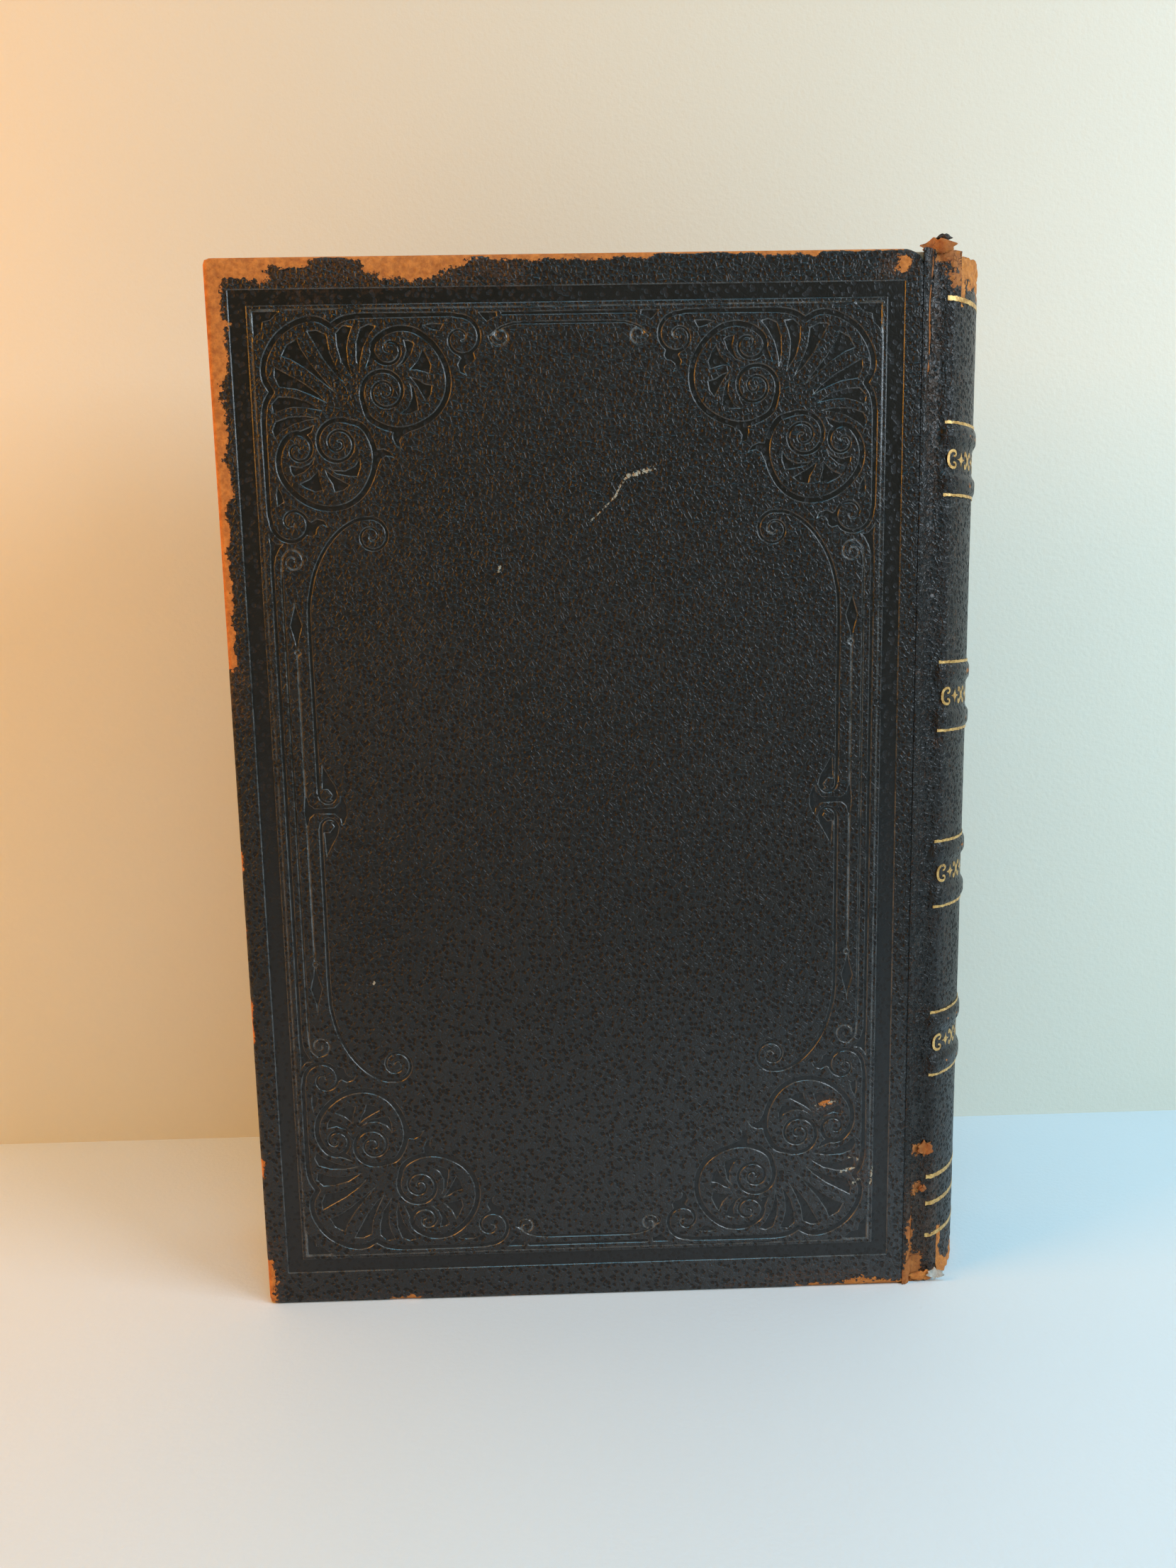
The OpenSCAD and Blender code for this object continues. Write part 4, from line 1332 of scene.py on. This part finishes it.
def gilt_tree():
    """A row of stamped ornaments along the back, pressed onto its curve."""
    inputs = [("Ornament", "NodeSocketObject", None), ("Back radius", "NodeSocketFloat", 0.0211),
              ("Axis x", "NodeSocketFloat", 0.064), ("Gilt", "NodeSocketMaterial", None)]
    tree, source, sink, keys = nodes_tree("Gilt ornament row", inputs)
    shape = add_node(tree, "GeometryNodeObjectInfo", {"As Instance": True, "Object": source["Ornament"]})
    here = tree.nodes.new("GeometryNodeInputPosition").outputs[0]
    parts = add_node(tree, "ShaderNodeSeparateXYZ", {0: here}).outputs
    from_axis = calc(tree, "SUBTRACT", parts[0], source["Axis x"])
    angle = calc(tree, "ARCTAN2", parts[1], from_axis)
    turn = add_node(tree, "ShaderNodeCombineXYZ", {2: angle}).outputs[0]
    rotation = add_node(tree, "FunctionNodeEulerToRotation", {0: turn}).outputs[0]
    spread = add_node(tree, "GeometryNodeInstanceOnPoints",
                      {"Points": source["Geometry"], "Instance": shape.outputs["Geometry"],
                       "Rotation": rotation}).outputs[0]
    whole = add_node(tree, "GeometryNodeRealizeInstances", {0: spread}).outputs[0]
    # a flat ornament's points keep their height but slide in onto the round
    flat = add_node(tree, "ShaderNodeCombineXYZ", {0: from_axis, 1: parts[1]}).outputs[0]
    unit = vector_calc(tree, "NORMALIZE", {0: flat}).outputs[0]
    proud = add_node(tree, "GeometryNodeInputNamedAttribute", {"Name": "proud"},
                     data_type="FLOAT").outputs[0]
    radius = calc(tree, "ADD", source["Back radius"], proud)
    scaled = vector_calc(tree, "SCALE", {0: unit, "Scale": radius}).outputs[0]
    lift = add_node(tree, "ShaderNodeCombineXYZ", {0: source["Axis x"], 2: parts[2]}).outputs[0]
    final = vector_calc(tree, "ADD", {0: scaled, 1: lift}).outputs[0]
    press = add_node(tree, "GeometryNodeSetPosition", {"Geometry": whole, "Position": final}).outputs[0]
    paint = add_node(tree, "GeometryNodeSetMaterial", {"Geometry": press, "Material": source["Gilt"]})
    tree.links.new(paint.outputs[0], sink.inputs[0])
    return tree, keys


def ribbon_outline(points, w0, w1):
    """Outline of a tapering stroke drawn along points."""
    left, right = [], []
    count = len(points)
    for i, p in enumerate(points):
        a, b = points[max(i - 1, 0)], points[min(i + 1, count - 1)]
        dx, dz = b[0] - a[0], b[1] - a[1]
        size = math.hypot(dx, dz) or 1.0
        half = 0.5 * (w0 + (w1 - w0) * abs(2 * i / (count - 1) - 1))
        left.append((p[0] - dz / size * half, p[1] + dx / size * half))
        right.append((p[0] + dz / size * half, p[1] - dx / size * half))
    return left, right


def ornament(name, shapes):
    """A stamped ornament, flat in the Y-Z plane with a little thickness, from strokes and outlines."""
    points, faces, proud = [], [], []

    def slab(outline_faces, outline):
        base = len(points)
        for height in (0.045, -0.02):
            for y, z in outline:
                points.append((0.0, y, z))
                proud.append(height * MM)
        n = len(outline)
        for f in outline_faces:
            faces.append(tuple(base + i for i in f))
            faces.append(tuple(base + n + i for i in f[::-1]))
        return base, n

    for kind, data in shapes:
        if kind == "stroke":
            line, w0, w1 = data
            left, right = ribbon_outline(line, w0, w1)
            n = len(left)
            quads = [(i, i + 1, n + i + 1, n + i) for i in range(n - 1)]
            base, total = slab(quads, left + right)
            rim = list(range(n)) + list(range(2 * n - 1, n - 1, -1))
        else:
            middle = (sum(p[0] for p in data) / len(data), sum(p[1] for p in data) / len(data))
            m = len(data)
            base, total = slab([(i, (i + 1) % m, m) for i in range(m)], list(data) + [middle])
            rim = list(range(m))
        for a, b in zip(rim, rim[1:] + rim[:1]):
            faces.append((base + a, base + b, base + total + b, base + total + a))
    mesh = bpy.data.meshes.new(name)
    mesh.from_pydata((np.array(points) * MM).tolist(), [], faces)
    layer = mesh.attributes.new("proud", "FLOAT", "POINT")
    layer.data.foreach_set("value", np.array(proud, np.float32))
    return bpy.data.objects.new(name, mesh)


def star(size, waist):
    """A four-pointed star."""
    points = []
    for i in range(8):
        r = size if i % 2 == 0 else waist
        a = math.pi * i / 4
        points.append((r * math.cos(a), r * math.sin(a)))
    return points


ORNAMENT_LABELS = ("scrolls", "stars", "cross_scrolls", "facing_scrolls")
ORNAMENT_ORDER = (0, 1, 2, 1, 3, 1, 2, 1)


def gilt_ornaments():
    """The ornaments of a band: a scroll, a star, a crossed double scroll and a scroll that faces back."""
    bow = smooth_line([(0.3, 0.7), (0.9, 0.72), (1.25, 1.25), (0.75, 1.8), (-0.5, 1.65), (-1.3, 0.8),
                       (-1.3, -0.8), (-0.5, -1.65), (0.75, -1.8), (1.25, -1.25), (0.9, -0.72), (0.3, -0.7)],
                      0.25)
    scroll = ornament("gilt_scroll", [("stroke", (bow, 0.8, 0.42))])
    facing = ornament("gilt_facing_scroll", [("stroke", ([(-y, z) for y, z in bow], 0.8, 0.42))])
    flower = ornament("gilt_star", [("outline", star(1.6, 0.5)), ("outline", star(0.8, 0.75))])
    arms = []
    for sy in (-1, 1):
        for sz in (-1, 1):
            arm = smooth_line([(0.1 * sy, 0.1 * sz), (0.5 * sy, 0.7 * sz), (0.95 * sy, 1.5 * sz),
                               (1.45 * sy, 1.75 * sz), (1.7 * sy, 1.25 * sz), (1.3 * sy, 0.95 * sz)], 0.25)
            arms.append(("stroke", (arm, 0.4, 0.65)))
    arms.append(("outline", [(0.55 * math.cos(t), 0.55 * math.sin(t)) for t in np.linspace(0, 5.5, 8)]))
    cross = ornament("gilt_cross_scroll", arms)
    return scroll, flower, cross, facing


def gilt_rule(z):
    """One gilt line round the back and a little onto the joints, with slightly uneven edges."""
    path = []
    line = [(JOINT_X + x, y) for x, y in smooth_line(JOINT_OUTER, 0.3) if 5.2 < x < 8.55]
    lift = float(band_relief(np.array(float(z))))
    for x, y in line:
        path.append((x, -(y + lift), 0.16, -0.99))
    for i in range(101):
        a = math.radians(-51.5 + 1.03 * i)
        r = float(back_radius(np.array(math.degrees(a)), np.array(float(z))))
        path.append((ROUND_X + r * math.cos(a), r * math.sin(a), math.cos(a), math.sin(a)))
    for x, y in line[::-1]:
        path.append((x, y + lift, 0.16, 0.99))
    points, faces = [], []
    for i, (x, y, nx, ny) in enumerate(path):
        wide = 0.5 + 0.05 * math.sin(i * 1.7 + z) + 0.04 * math.sin(i * 0.9 + 2 * z)
        for out, rise in ((0.06, wide), (0.06, -wide), (-0.06, -wide), (-0.06, wide)):
            points.append((x + out * nx, y + out * ny, z + rise))
    for i in range(len(path) - 1):
        for k in range(4):
            a, b = i * 4 + k, i * 4 + (k + 1) % 4
            faces.append((a, b, b + 4, a + 4))
    faces.append((0, 1, 2, 3))
    last = (len(path) - 1) * 4
    faces.append((last, last + 1, last + 2, last + 3))
    return points, faces


# ---------------------------------------------------------------- leaves

def leaf_block(side, number, material):
    """One gathering as a block of leaves with uneven cut edges, with close columns near its fold."""
    sign = SIDES[side]
    node = side + "_gathering_" + str(number)
    low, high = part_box(node)
    y_a, y_b = sorted((abs(low.y) / MM, abs(high.y) / MM))
    fold_x, z_lo, z_hi = high.x / MM, low.z / MM, high.z / MM
    sheets = 5
    heights, insets = [], []
    rng = np.random.default_rng(100 * number + (7 if sign > 0 else 3))
    for s in range(sheets):
        a = y_a + (y_b - y_a) * s / sheets
        b = y_a + (y_b - y_a) * (s + 1) / sheets
        out = 0.02 + 0.16 * rng.random()
        gap = 0.05
        heights += [a + (0 if s == 0 else gap), b - (0 if s == sheets - 1 else gap)]
        insets += [out, out]
        if s < sheets - 1:
            heights.append(b)
            insets.append(out + 0.22)
    near_fold = [0, 0.4, 0.9, 1.6, 2.4, 3.3, 4.3, 5.4, 6.6, 7.9, 9.3, 10.8, 12.4, 14.2]
    far = np.linspace(16.5, 150.0, 16)
    back_from_fold = np.array(near_fold + far.tolist())
    zs = np.linspace(0, 1, 31)
    columns, rows = len(back_from_fold), len(zs)
    # the concave fore edge, read from the gathering's own shape
    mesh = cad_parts[node].data
    co = np.array([v.co for v in mesh.vertices]) / MM
    inner = co[np.abs(np.abs(co[:, 1]) - y_a) < 0.05][:, 0].min()
    outer = co[np.abs(np.abs(co[:, 1]) - y_b) < 0.05][:, 0].min()
    points = []
    for height, inset in zip(heights, insets):
        fore = inner + (outer - inner) * (height - y_a) / (y_b - y_a) + inset
        x = fold_x - back_from_fold * (fold_x - fore) / back_from_fold[-1]
        for r, t in enumerate(zs):
            z = (z_lo + inset) + t * (z_hi - z_lo - 2 * inset)
            ripple = 0.05 * math.sin(r * 1.3 + number)
            for c in range(columns):
                wave = ripple if c == columns - 1 else 0.0
                points.append((x[c] + wave, sign * height, z))
    n = columns * rows
    layers = len(heights)
    used, faces = drop_unused(shell_faces(rows, columns, layers))
    spot = np.array(used) % n
    rim = (spot % columns == columns - 1) | (spot // columns == 0) | (spot // columns == rows - 1)
    points = np.array(points)[used]
    values = {"cut": rim.astype(float), "level": np.abs(points[:, 1]) * MM}
    name = side + "_leaves_block_" + str(number)
    piece = new_piece(name, points, faces, material, values, sharp=40)
    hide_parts(node)
    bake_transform(piece)
    return piece


def flyleaf(side, material):
    """The free endpaper: one flat leaf, with close columns near the joint."""
    sign = SIDES[side]
    node = side + "_endpaper"
    low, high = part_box(node)
    y_a, y_b = sorted((abs(low.y) / MM, abs(high.y) / MM))
    start = np.array([0, 0.5, 1.1, 1.8, 2.6, 3.5, 4.5, 5.6, 6.8, 8.1, 9.5, 11.0, 12.6, 14.5])
    back_from_fold = np.concatenate([start, np.linspace(18, (high.x - low.x) / MM, 14)])
    zs = np.linspace(low.z / MM, high.z / MM, 25)
    points = []
    for y in (y_a + 0.02, y_b - 0.02):
        for z in zs:
            for d in back_from_fold:
                points.append((high.x / MM - d, sign * y, z))
    faces = shell_faces(len(zs), len(back_from_fold))
    piece = new_piece(side + "_flyleaf_sheet", points, faces, material, sharp=40)
    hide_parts(node)
    y = sign * y_b * MM
    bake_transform(piece)
    return piece


# ---------------------------------------------------------------- settings a user may change

class LeatherSettings(bpy.types.PropertyGroup):
    """Colours and tooling of the covering leather."""
    dye: bpy.props.FloatVectorProperty(
        name="Dye", description="Colour of the black leather", subtype="COLOR", size=3,
        min=0, max=1, default=(0.0048, 0.0046, 0.0048))
    faded: bpy.props.FloatVectorProperty(
        name="Faded dye", description="Colour where the dye has greyed", subtype="COLOR", size=3,
        min=0, max=1, default=(0.0092, 0.0084, 0.0078))
    rubbed: bpy.props.FloatVectorProperty(
        name="Rubbed", description="Brown of leather rubbed nearly through", subtype="COLOR", size=3,
        min=0, max=1, default=(0.075, 0.035, 0.017))
    raw: bpy.props.FloatVectorProperty(
        name="Raw hide", description="Colour of the bare hide", subtype="COLOR", size=3,
        min=0, max=1, default=(0.64, 0.235, 0.050))
    raw_dark: bpy.props.FloatVectorProperty(
        name="Dark hide", description="Darker fibres of the bare hide", subtype="COLOR", size=3,
        min=0, max=1, default=(0.36, 0.115, 0.026))
    # The pale grey painted on the tooling's walls as a highlight.
    polished: bpy.props.FloatVectorProperty(
        name="Painted edge highlight", description="Colour of the tooling's painted highlight on the edges", subtype="COLOR", size=3,
        min=0, max=1, default=(0.11, 0.105, 0.10))
    scuff: bpy.props.FloatVectorProperty(
        name="Scuff", description="Colour of pale scuff marks", subtype="COLOR", size=3,
        min=0, max=1, default=(0.50, 0.43, 0.32))
    roughness: bpy.props.FloatProperty(
        name="Roughness", description="Roughness of the unworn leather", min=0, max=1, default=0.34,
        subtype="FACTOR")
    depth: bpy.props.FloatProperty(
        name="Tooling depth", description="How far the tooling is sunk", unit="LENGTH", subtype="DISTANCE",
        min=0.0, max=0.0005, default=0.0003)
    fineness: bpy.props.FloatProperty(
        name="Tooling fineness", description="Spacing of the samples that the tooling is drawn with",
        unit="LENGTH", subtype="DISTANCE", min=0.0001, max=0.001, default=0.0002)


class SpineSettings(bpy.types.PropertyGroup):
    """Sizes of the spine's trim."""
    thread: bpy.props.FloatProperty(
        name="Thread radius", description="Radius of the end bands' thread", unit="LENGTH",
        subtype="DISTANCE", min=0.00005, max=0.0004, default=0.00017)
    ornaments: bpy.props.IntProperty(
        name="Ornaments", description="Ornaments along each band", min=3, max=17, default=13)


class StageSettings(bpy.types.PropertyGroup):
    """Camera and light."""
    lens: bpy.props.FloatProperty(
        name="Focal length", description="Lens of the camera, in millimetres", subtype="NONE",
        min=10, max=120, default=26.04)
    key_power: bpy.props.FloatProperty(
        name="Warm light", description="Power of the warm light on the left", unit="POWER",
        min=0, max=200, default=4.4)
    fill_power: bpy.props.FloatProperty(
        name="Cool light", description="Power of the cool light on the right", unit="POWER",
        min=0, max=200, default=4.9)
    front_power: bpy.props.FloatProperty(
        name="Front light", description="Power of the soft light above the front", unit="POWER",
        min=0, max=200, default=0.9)
    ceiling_power: bpy.props.FloatProperty(
        name="Ceiling light", description="Power of the small light overhead", unit="POWER",
        min=0, max=200, default=0.4)
    room: bpy.props.FloatProperty(
        name="Room light", description="Strength of the even light from all round", subtype="FACTOR",
        min=0, max=5, default=0.22)
    floor: bpy.props.FloatVectorProperty(
        name="Floor", description="Colour of the floor", subtype="COLOR", size=3,
        min=0, max=1, default=(0.67, 0.77, 0.83))
    wall: bpy.props.FloatVectorProperty(
        name="Wall", description="Colour of the wall", subtype="COLOR", size=3,
        min=0, max=1, default=(0.765, 0.757, 0.66))


# ---------------------------------------------------------------- operators

class BOOK_OT_stage(bpy.types.Operator):
    """Makes the floor, wall, lights and camera"""
    bl_idname = "prayer_book.stage"
    bl_label = "Stage"

    def execute(self, context):
        looks = context.scene.prayer_book_stage
        painted = self.painted_board("painted_floor", looks.floor)
        floor = self.plane("floor", [(-3, -3, 0), (3, -3, 0), (3, 3, 0), (-3, 3, 0)], painted)
        wall_look = self.painted_board("painted_wall", looks.wall)
        tree = wall_look.node_tree
        clear = tree.nodes.new("ShaderNodeBsdfTransparent")
        facing = tree.nodes.new("ShaderNodeNewGeometry").outputs["Backfacing"]
        both = tree.nodes.new("ShaderNodeMixShader")
        tree.links.new(facing, both.inputs[0])
        tree.links.new(tree.nodes["Principled BSDF"].outputs[0], both.inputs[1])
        tree.links.new(clear.outputs[0], both.inputs[2])
        tree.links.new(both.outputs[0], tree.nodes["Material Output"].inputs[0])
        back = 0.0716
        wall = self.plane("wall", [(-3, back, 0), (3, back, 0), (3, back, 3), (-3, back, 3)], wall_look)
        self.light("warm_left", (-0.62, -0.20, 0.42), (-0.28, 0.07, 0.20), 0.35, looks.key_power,
                   (1.0, 0.37, 0.03))
        self.light("cool_right", (0.60, -0.36, 0.46), (0.12, 0.02, 0.14), 0.4, looks.fill_power,
                   (0.74, 0.87, 1.0))
        self.light("floor_glow", (0.05, -0.42, 0.95), (0.05, -0.34, 0.0), 0.35, looks.front_power,
                   (0.15, 0.66, 1.0), 78)
        self.light("ceiling", (-0.05, -0.12, 1.15), (0.0, 0.0, 0.1), 0.22, looks.ceiling_power,
                   (0.96, 0.97, 1.0))
        world = bpy.data.worlds.new("soft_room")
        world.use_nodes = True
        tree = world.node_tree
        lit = tree.nodes["Background"]
        lit.inputs["Color"].default_value = (1.0, 0.95, 0.5, 1)
        lit.inputs["Strength"].default_value = looks.room
        ins = {"Color": (0.80, 0.80, 0.77, 1), "Strength": 0.85}
        seen = add_node(tree, "ShaderNodeBackground", ins)
        direct = tree.nodes.new("ShaderNodeLightPath").outputs["Is Camera Ray"]
        both = tree.nodes.new("ShaderNodeMixShader")
        tree.links.new(direct, both.inputs[0])
        tree.links.new(lit.outputs[0], both.inputs[1])
        tree.links.new(seen.outputs[0], both.inputs[2])
        tree.links.new(both.outputs[0], tree.nodes["World Output"].inputs[0])
        context.scene.world = world
        camera_data = bpy.data.cameras.new("camera")
        camera_data.lens = looks.lens
        camera_data.sensor_width = 36.0
        camera_data.clip_start = 0.01
        camera = bpy.data.objects.new("camera", camera_data)
        forward = Vector((0.0203, 0.9891, -0.1456)).normalized()
        right = Vector((0.9995, -0.0235, -0.0198))
        right = (right - forward * right.dot(forward)).normalized()
        up = right.cross(forward)
        turn = Matrix((right, up, -forward)).transposed().to_4x4()
        camera.matrix_world = Matrix.Translation((-0.01178, -0.2749, 0.1631)) @ turn
        context.scene.collection.objects.link(camera)
        context.scene.camera = camera
        context.scene.view_settings.view_transform = "Standard"
        return {"FINISHED"}

    @staticmethod
    def painted_board(name, tint):
        """Matt paint, faintly cloudy and toothed."""
        found, tree, shader, place = start_material(name)
        cloud = noise(tree, place, 6.0, 3.0)
        tooth = noise(tree, place, 900.0, 3.0)
        dim = (*(0.93 * c for c in tint), 1)
        tree.links.new(mix_colour(tree, cloud, (*tint, 1), dim), shader.inputs["Base Color"])
        bump = add_node(tree, "ShaderNodeBump", {"Height": tooth, "Distance": 0.0002, "Strength": 0.5})
        tree.links.new(bump.outputs["Normal"], shader.inputs["Normal"])
        shader.inputs["Roughness"].default_value = 0.6
        return found

    @staticmethod
    def plane(name, corners, material):
        mesh = bpy.data.meshes.new(name)
        mesh.from_pydata(corners, [], [(0, 1, 2, 3)])
        mesh.materials.append(material)
        plane = bpy.data.objects.new(name, mesh)
        bpy.context.scene.collection.objects.link(plane)
        return plane

    @staticmethod
    def light(name, place, aim, size, power, colour, spread=180):
        data = bpy.data.lights.new(name, "AREA")
        data.energy = power
        data.size = size
        data.color = colour
        data.spread = math.radians(spread)
        lamp = bpy.data.objects.new(name, data)
        lamp.location = place
        lamp.rotation_euler = (Vector(aim) - Vector(place)).to_track_quat("-Z", "Y").to_euler()
        bpy.context.scene.collection.objects.link(lamp)


class BOOK_OT_covers(bpy.types.Operator):
    """Makes the tooled leather of both covers"""
    bl_idname = "prayer_book.covers"
    bl_label = "Cover leather"

    def execute(self, context):
        looks = context.scene.prayer_book_leather
        step = looks.fineness / MM * 1.0
        quarter = tooled_quarter(step)
        face = -OUTER_Y * MM

        def at(x, z):
            return ((FORE_X + x) * MM, face, z * MM)

        scratch = ((at(81.0, 183.6), at(86.4, 188.6), 0.00035), (at(86.4, 188.6), at(89.2, 193.2), 0.0005),
                   (at(89.2, 193.2), at(95.2, 195.0), 0.00075), (at(60.8, 173.4), at(61.1, 174.4), 0.0006),
                   (at(28.9, 79.9), at(29.0, 80.2), 0.0005), (at(138.6, 30.0), at(141.9, 30.8), 0.0006),
                   (at(141.2, 26.8), at(143.0, 27.7), 0.0006), (at(140.4, 33.5), at(142.7, 33.0), 0.0005),
                   (at(145.7, 26.4), at(146.2, 30.8), 0.0005), (at(132.4, 46.8), at(137.2, 47.9), 0.0005))
        marked = leather_material("back_cover_leather", scratch, floor_reflection=1.0)
        cover_leather("back", quarter, looks.depth / MM, marked)
        clear = leather_material("front_cover_leather", floor_reflection=0.6)
        cover_leather("front", quarter, looks.depth / MM, clear)
        return {"FINISHED"}


class BOOK_OT_spine(bpy.types.Operator):
    """Makes the spine leather, the joints, the torn caps and the gilding"""
    bl_idname = "prayer_book.spine"
    bl_label = "Spine and joints"

    def execute(self, context):
        looks = context.scene.prayer_book_spine
        back = leather_material("spine_leather_grain", grain=1000.0)
        joint = leather_material("joint_leather_grain", grain=1000.0, crazed=0.7, deep=0.62)
        spine_covering(back)
        for side in SIDES:
            joint_leather(side, joint)
        end_cap("head_cap_roll", 239.55, 1, 1.0, "head_cap", back)
        end_cap("tail_cap_roll", 0.5, -1, 2.3, "tail_cap", back)
        torn_scrap("head_flap", (ROUND_X + 6.6, -18.6, 240.5), (6.6, 1.6, 3.4), 3.0, joint,
                   0.8)
        torn_scrap("head_tag", (ROUND_X + 8.4, -18.2, 242.4), (3.0, 1.1, 1.5), 4.4, back, 0.0)
        torn_scrap("joint_tear", (ROUND_X + 8.6, -18.9, 24.4), (1.7, 0.5, 1.7), 5.0, joint)
        torn_scrap("joint_scab", (ROUND_X + 8.9, -18.8, 34.5), (3.4, 0.6, 3.6), 2.0, joint)
        torn_scrap("tail_flap", (ROUND_X + 9.6, -18.9, 1.6), (6.2, 0.7, 2.4), 6.0, back)
        lining = plain_material("torn_lining", (0.30, 0.29, 0.26), (0.55, 0.54, 0.50), 600, 0.8, 0.0001)
        torn_scrap("lining_scrap", (ROUND_X + 12.0, -19.3, 2.2), (3.8, 0.5, 2.6), 8.0, lining)
        gilt = gilt_material("gold_leaf")
        points, faces = [], []
        for z in RULE_Z:
            more, quads = gilt_rule(z)
            base = len(points)
            points += more
            faces += [tuple(base + i for i in q) for q in quads]
        rules = new_piece("gilt_lines", points, faces, gilt, sharp=40)
        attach(rules, "spine")
        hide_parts("gilt_rules")
        tree, keys = gilt_tree()
        shapes = gilt_ornaments()
        for shape in shapes:
            context.scene.collection.objects.link(shape)
        for number, z in enumerate(BAND_Z):
            for kind, shape in enumerate(shapes):
                self.ornament_row(number, z, kind, shape, tree, keys, gilt, looks.ornaments)
        for shape in shapes:
            bpy.data.objects.remove(shape)
        silk = (silk_material("natural_silk", (0.62, 0.53, 0.36), (0.50, 0.40, 0.26)),
                silk_material("red_silk", (0.28, 0.045, 0.035), (0.18, 0.03, 0.025)))
        wound, keys = wound_tree()
        end_band("head_band_threads", 237.6, "head_band", wound, keys, silk)
        end_band("tail_band_threads", 2.4, "tail_band", wound, keys, silk)
        return {"FINISHED"}

    @staticmethod
    def ornament_row(number, z, kind, shape, tree, keys, gilt, count):
        """The places of one band that hold one kind of ornament, filled by Geometry Nodes."""
        mesh = bpy.data.meshes.new("row")
        places = []
        for i in range(count):
            if ORNAMENT_ORDER[i % len(ORNAMENT_ORDER)] != kind:
                continue
            a = math.radians(-55.8 + 111.6 * i / (count - 1))
            places.append(((ROUND_X + BACK_R * math.cos(a)) * MM, BACK_R * math.sin(a) * MM, z * MM))
        mesh.from_pydata(places, [], [])
        holder = bpy.data.objects.new("row", mesh)
        bpy.context.scene.collection.objects.link(holder)
        modifier = holder.modifiers.new("Gilt ornament row", "NODES")
        modifier.node_group = tree
        modifier[keys["Ornament"]] = shape
        modifier[keys["Back radius"]] = (BACK_R - 0.10) * MM
        modifier[keys["Axis x"]] = ROUND_X * MM
        modifier[keys["Gilt"]] = gilt
        piece = bake_nodes(holder, "gilt_" + ORNAMENT_LABELS[kind] + "_" + str(number + 1))
        clean_faces(piece)
        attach(piece, "spine")


class BOOK_OT_leaves(bpy.types.Operator):
    """Makes the gatherings of leaves and the free endpapers"""
    bl_idname = "prayer_book.leaves"
    bl_label = "Leaves"

    def execute(self, context):
        paper = paper_material("leaf_paper", (0.66, 0.56, 0.40), (0.50, 0.37, 0.22), lines=9000.0)
        lining = paper_material("endpaper", (0.56, 0.48, 0.36), (0.40, 0.31, 0.20))
        for side in SIDES:
            for number in range(1, 9):
                leaf_block(side, number, paper)
            flyleaf(side, lining)
        self.repaint("sewn_folds", paper)
        for side in SIDES:
            self.repaint(side + "_pastedown", lining)
        return {"FINISHED"}

    @staticmethod
    def repaint(node, material):
        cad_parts[node].data.materials.clear()
        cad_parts[node].data.materials.append(material)


class BOOK_OT_hidden(bpy.types.Operator):
    """Gives the boards, linings, cords and threads inside the back their finishes"""
    bl_idname = "prayer_book.hidden"
    bl_label = "Inner pieces"

    def execute(self, context):
        board = plain_material("pressed_board", (0.22, 0.16, 0.10), (0.38, 0.30, 0.20), 420, 0.85, 0.0002)
        kraft = plain_material("kraft_paper", (0.30, 0.20, 0.11), (0.42, 0.29, 0.17), 500, 0.8, 0.00005,
                               (1, 1, 0.2))
        hemp = plain_material("hemp_cord", (0.30, 0.24, 0.15), (0.55, 0.47, 0.33), 900, 0.85, 0.0003,
                              (1, 0.3, 1))
        thread = plain_material("linen_thread", (0.42, 0.36, 0.26), (0.66, 0.60, 0.48), 1500, 0.75, 0.0001,
                                (1, 1, 0.2))
        mull = mull_material("starched_mull")
        finishes = {"spine_card": board, "back_board": board, "front_board": board, "hollow_tube": kraft,
                    "sewing_cords": hemp, "sewing_thread": thread, "mull_lining": mull}
        for number in range(1, 5):
            finishes["raised_band_" + str(number)] = board
        for node, material in finishes.items():
            BOOK_OT_leaves.repaint(node, material)
        return {"FINISHED"}


class BOOK_PT_panel(bpy.types.Panel):
    """Lists the steps that make the book"""
    bl_idname = "BOOK_PT_panel"
    bl_label = "Prayer Book"
    bl_space_type = "VIEW_3D"
    bl_region_type = "UI"
    bl_category = "Prayer Book"

    def draw(self, context):
        for step in STEPS:
            self.layout.operator(step.bl_idname, text=step.bl_label)
        for name in ("prayer_book_leather", "prayer_book_spine", "prayer_book_stage"):
            group = getattr(context.scene, name)
            box = self.layout.box()
            for key in group.bl_rna.properties.keys():
                if key not in ("rna_type", "name"):
                    box.prop(group, key)


STEPS = (BOOK_OT_stage, BOOK_OT_covers, BOOK_OT_spine, BOOK_OT_leaves, BOOK_OT_hidden)
SETTINGS = (LeatherSettings, SpineSettings, StageSettings)


def register():
    for item in SETTINGS + STEPS + (BOOK_PT_panel,):
        bpy.utils.register_class(item)
    bpy.types.Scene.prayer_book_leather = bpy.props.PointerProperty(type=LeatherSettings)
    bpy.types.Scene.prayer_book_spine = bpy.props.PointerProperty(type=SpineSettings)
    bpy.types.Scene.prayer_book_stage = bpy.props.PointerProperty(type=StageSettings)


def unregister():
    del bpy.types.Scene.prayer_book_stage
    del bpy.types.Scene.prayer_book_spine
    del bpy.types.Scene.prayer_book_leather
    for item in reversed(SETTINGS + STEPS + (BOOK_PT_panel,)):
        bpy.utils.unregister_class(item)


def main():
    register()
    bpy.ops.prayer_book.stage()
    bpy.ops.prayer_book.covers()
    bpy.ops.prayer_book.spine()
    bpy.ops.prayer_book.leaves()
    bpy.ops.prayer_book.hidden()


if __name__ == "__main__":
    main()
